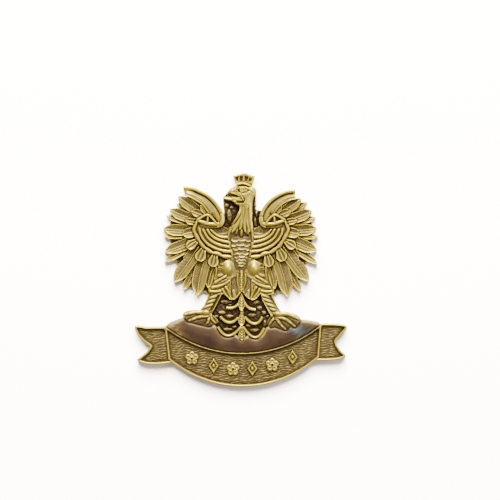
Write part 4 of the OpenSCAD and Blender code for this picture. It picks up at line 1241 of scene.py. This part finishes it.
# Later pieces cover earlier ones where the patina is worked out
FIELDS = {
    "backing_plate": plate_field(),
    "mound": mound_field(),
    "left_wing": wing_field(-1),
    "right_wing": wing_field(1),
    "left_leg": leg_field(-1),
    "right_leg": leg_field(1),
    "tail": tail_field(),
    "torso": torso_field(),
    "head": head_field(),
    "crown": crown_field(),
    "scroll_panel": panel_field(),
    "left_scroll_tail": fork_field(-1),
    "right_scroll_tail": fork_field(1),
    "scroll_ornaments": ornament_field(),
}
BASE = {"backing_plate": 0.0, "scroll_ornaments": SCROLL - 0.7}     # the others stand on the plate
FINISH = {"backing_plate": (WEB, "plate_bronze"), "mound": (lacquer(), "mound_brown")}
BACK_PATINA = 0.72
FOOT_PATINA = 0.25
FINE, FINE_GAIN = 0.22, 1.7     # width of the hollows that patina gathers in, and how strongly
BROAD, BROAD_GAIN = 0.8, 0.35

relief = np.zeros(GRID_SHAPE)
for field in FIELDS.values():
    whole = relief[field.window]
    whole[:] = np.where(field.edge < 0, field.height, whole)
fine_ground = blurred(relief, FINE)
broad_ground = blurred(relief, BROAD)
for node, field in FIELDS.items():
    fine = field.height - fine_ground[field.window]
    broad = field.height - broad_ground[field.window]
    # patina from hollows and ridges plus each piece's tone, which on the scroll includes painted shade
    patina_and_shade = np.clip(0.5 + FINE_GAIN * fine + BROAD_GAIN * broad + field.tone, 0, 1)
    if node == "backing_plate":
        at_back = (BACK_PATINA, post_pockets())
    else:
        at_back = (FOOT_PATINA, ())
    piece = relief_mesh(node + "_relief", field, patina_and_shade, BASE.get(node, PLATE), *at_back)
    material, slot = FINISH.get(node, (GILT, "antique_gilt"))
    piece.data.materials.append(material)
    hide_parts(node)
    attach(piece, "badge")


# ---- the posts and clutches ----

def cad_finish(names, material, bevel=0.00006):
    """Gives CAD nodes their material and breaks their sharp edges."""
    for name in names:
        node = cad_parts[name]
        node.data.materials.clear()
        node.data.materials.append(material)
        edges = node.modifiers.new("broken_edges", "BEVEL")
        edges.width = bevel
        edges.segments = 2
        edges.limit_method = "ANGLE"
        edges.angle_limit = math.radians(50)


def on_both_sides(*parts):
    return [f"{side}_{part}" for side in SIDE_NAME.values() for part in parts]


BACK_BRASS = ((0.62, 0.46, 0.17), 0.24)
SPRING_BRASS = ((0.66, 0.50, 0.20), 0.2)
cad_finish(on_both_sides("post"), pressed_brass("post_brass", *BACK_BRASS, (1.0, 0.12, 1.0)), 0.00003)
cad_finish(on_both_sides("clutch_washer", "clutch_base"),
           pressed_brass("clutch_brass", *BACK_BRASS, (1.0, 1.0, 1.0)))
cad_finish(on_both_sides("top_spring", "bottom_spring"),
           pressed_brass("spring_brass", *SPRING_BRASS, (0.15, 1.0, 1.0)))


# ---- stage ----

# Lamps as place, size, power in watts and colour
CARD_LAMP = ((0.0, -0.42, 0.40), 0.5, 75.0, (1.0, 0.98, 0.95))
LAMPS = {"key": ((0.0, -0.30, 0.42), 0.34, 7.2, (1.0, 0.96, 0.86)),
         "fill": ((0.35, -0.35, 0.05), 0.3, 1.0, (1.0, 1.0, 1.0)),
         "back": ((0.1, 0.4, 0.3), 0.3, 4.0, (1.0, 1.0, 1.0))}
CARD_COLOUR = (0.95, 0.87, 0.80, 1)
# The studio's light from straight below to well above the badge, as (height, colour)
SKY_STOPS = [(0.0, (0.44, 0.42, 0.38)), (0.45, (0.66, 0.63, 0.57)), (0.75, (1.05, 1.0, 0.91))]


def backdrop():
    """The pale surface behind the badge. It is seen only from its front, and lit by its own lamp."""
    mesh = bpy.data.meshes.new("backdrop")
    half, back = 0.6, 0.0003
    mesh.from_pydata([(-half, back, -half), (half, back, -half), (half, back, half),
                      (-half, back, half)], [], [(0, 1, 2, 3)])
    plane = bpy.data.objects.new("backdrop", mesh)
    bpy.context.scene.collection.objects.link(plane)
    tree = Tree(bpy.data.materials.new("pale_card"))
    shader = tree.nodes["Principled BSDF"]
    tree.dress(shader, Base_Color=CARD_COLOUR, Roughness=0.9)
    mix = tree.node("MixShader", Fac=tree.node("NewGeometry").outputs["Backfacing"])
    tree.feed(mix.inputs[1], shader.outputs[0])
    tree.feed(mix.inputs[2], tree.node("BsdfTransparent").outputs[0])
    tree.dress(tree.nodes["Material Output"], Surface=mix.outputs[0])
    mesh.materials.append(tree.owner)
    plane.visible_shadow = False
    plane.visible_diffuse = False
    plane.visible_glossy = False
    lit = bpy.data.collections.new("lit_by_card_lamp")
    lit.objects.link(plane)
    lamp = area_light("card_lamp", *CARD_LAMP)
    lamp.light_linking.receiver_collection = lit


def area_light(name, place, size, power, colour):
    light = bpy.data.lights.new(name, "AREA")
    light.shape = "DISK"
    light.size = size
    light.energy = power
    light.color = colour
    lamp = bpy.data.objects.new(name, light)
    lamp.location = place
    lamp.rotation_euler = (-Vector(place)).to_track_quat("-Z", "Y").to_euler()
    bpy.context.scene.collection.objects.link(lamp)
    return lamp


def camera():
    """Straight on, framed as wide as 106.3 mm at the badge."""
    distance, frame_width = 0.45, 0.1063
    data = bpy.data.cameras.new("camera")
    data.sensor_width = 36.0
    data.lens = data.sensor_width * distance / frame_width
    data.clip_start = 0.01
    eye = bpy.data.objects.new("camera", data)
    eye.location = (0.0019, -distance, 0.0064)
    eye.rotation_euler = (math.radians(90), 0, 0)
    bpy.context.scene.collection.objects.link(eye)
    bpy.context.scene.camera = eye


backdrop()
camera()
for name, (place, size, power, colour) in LAMPS.items():
    area_light(name, place, size, power, colour)


def studio():
    """Soft light that is brightest above and dim in front and below."""
    world = bpy.data.worlds.new("studio")
    bpy.context.scene.world = world
    tree = Tree(world)
    split = tree.node("SeparateXYZ", Vector=tree.node("TexCoord").outputs["Generated"])
    height = tree.node("MapRange", From_Min=-1.0, Value=split.outputs["Z"])
    tree.dress(tree.nodes["Background"], Color=tree.ramp(height.outputs["Result"], SKY_STOPS),
               Strength=0.9)


studio()
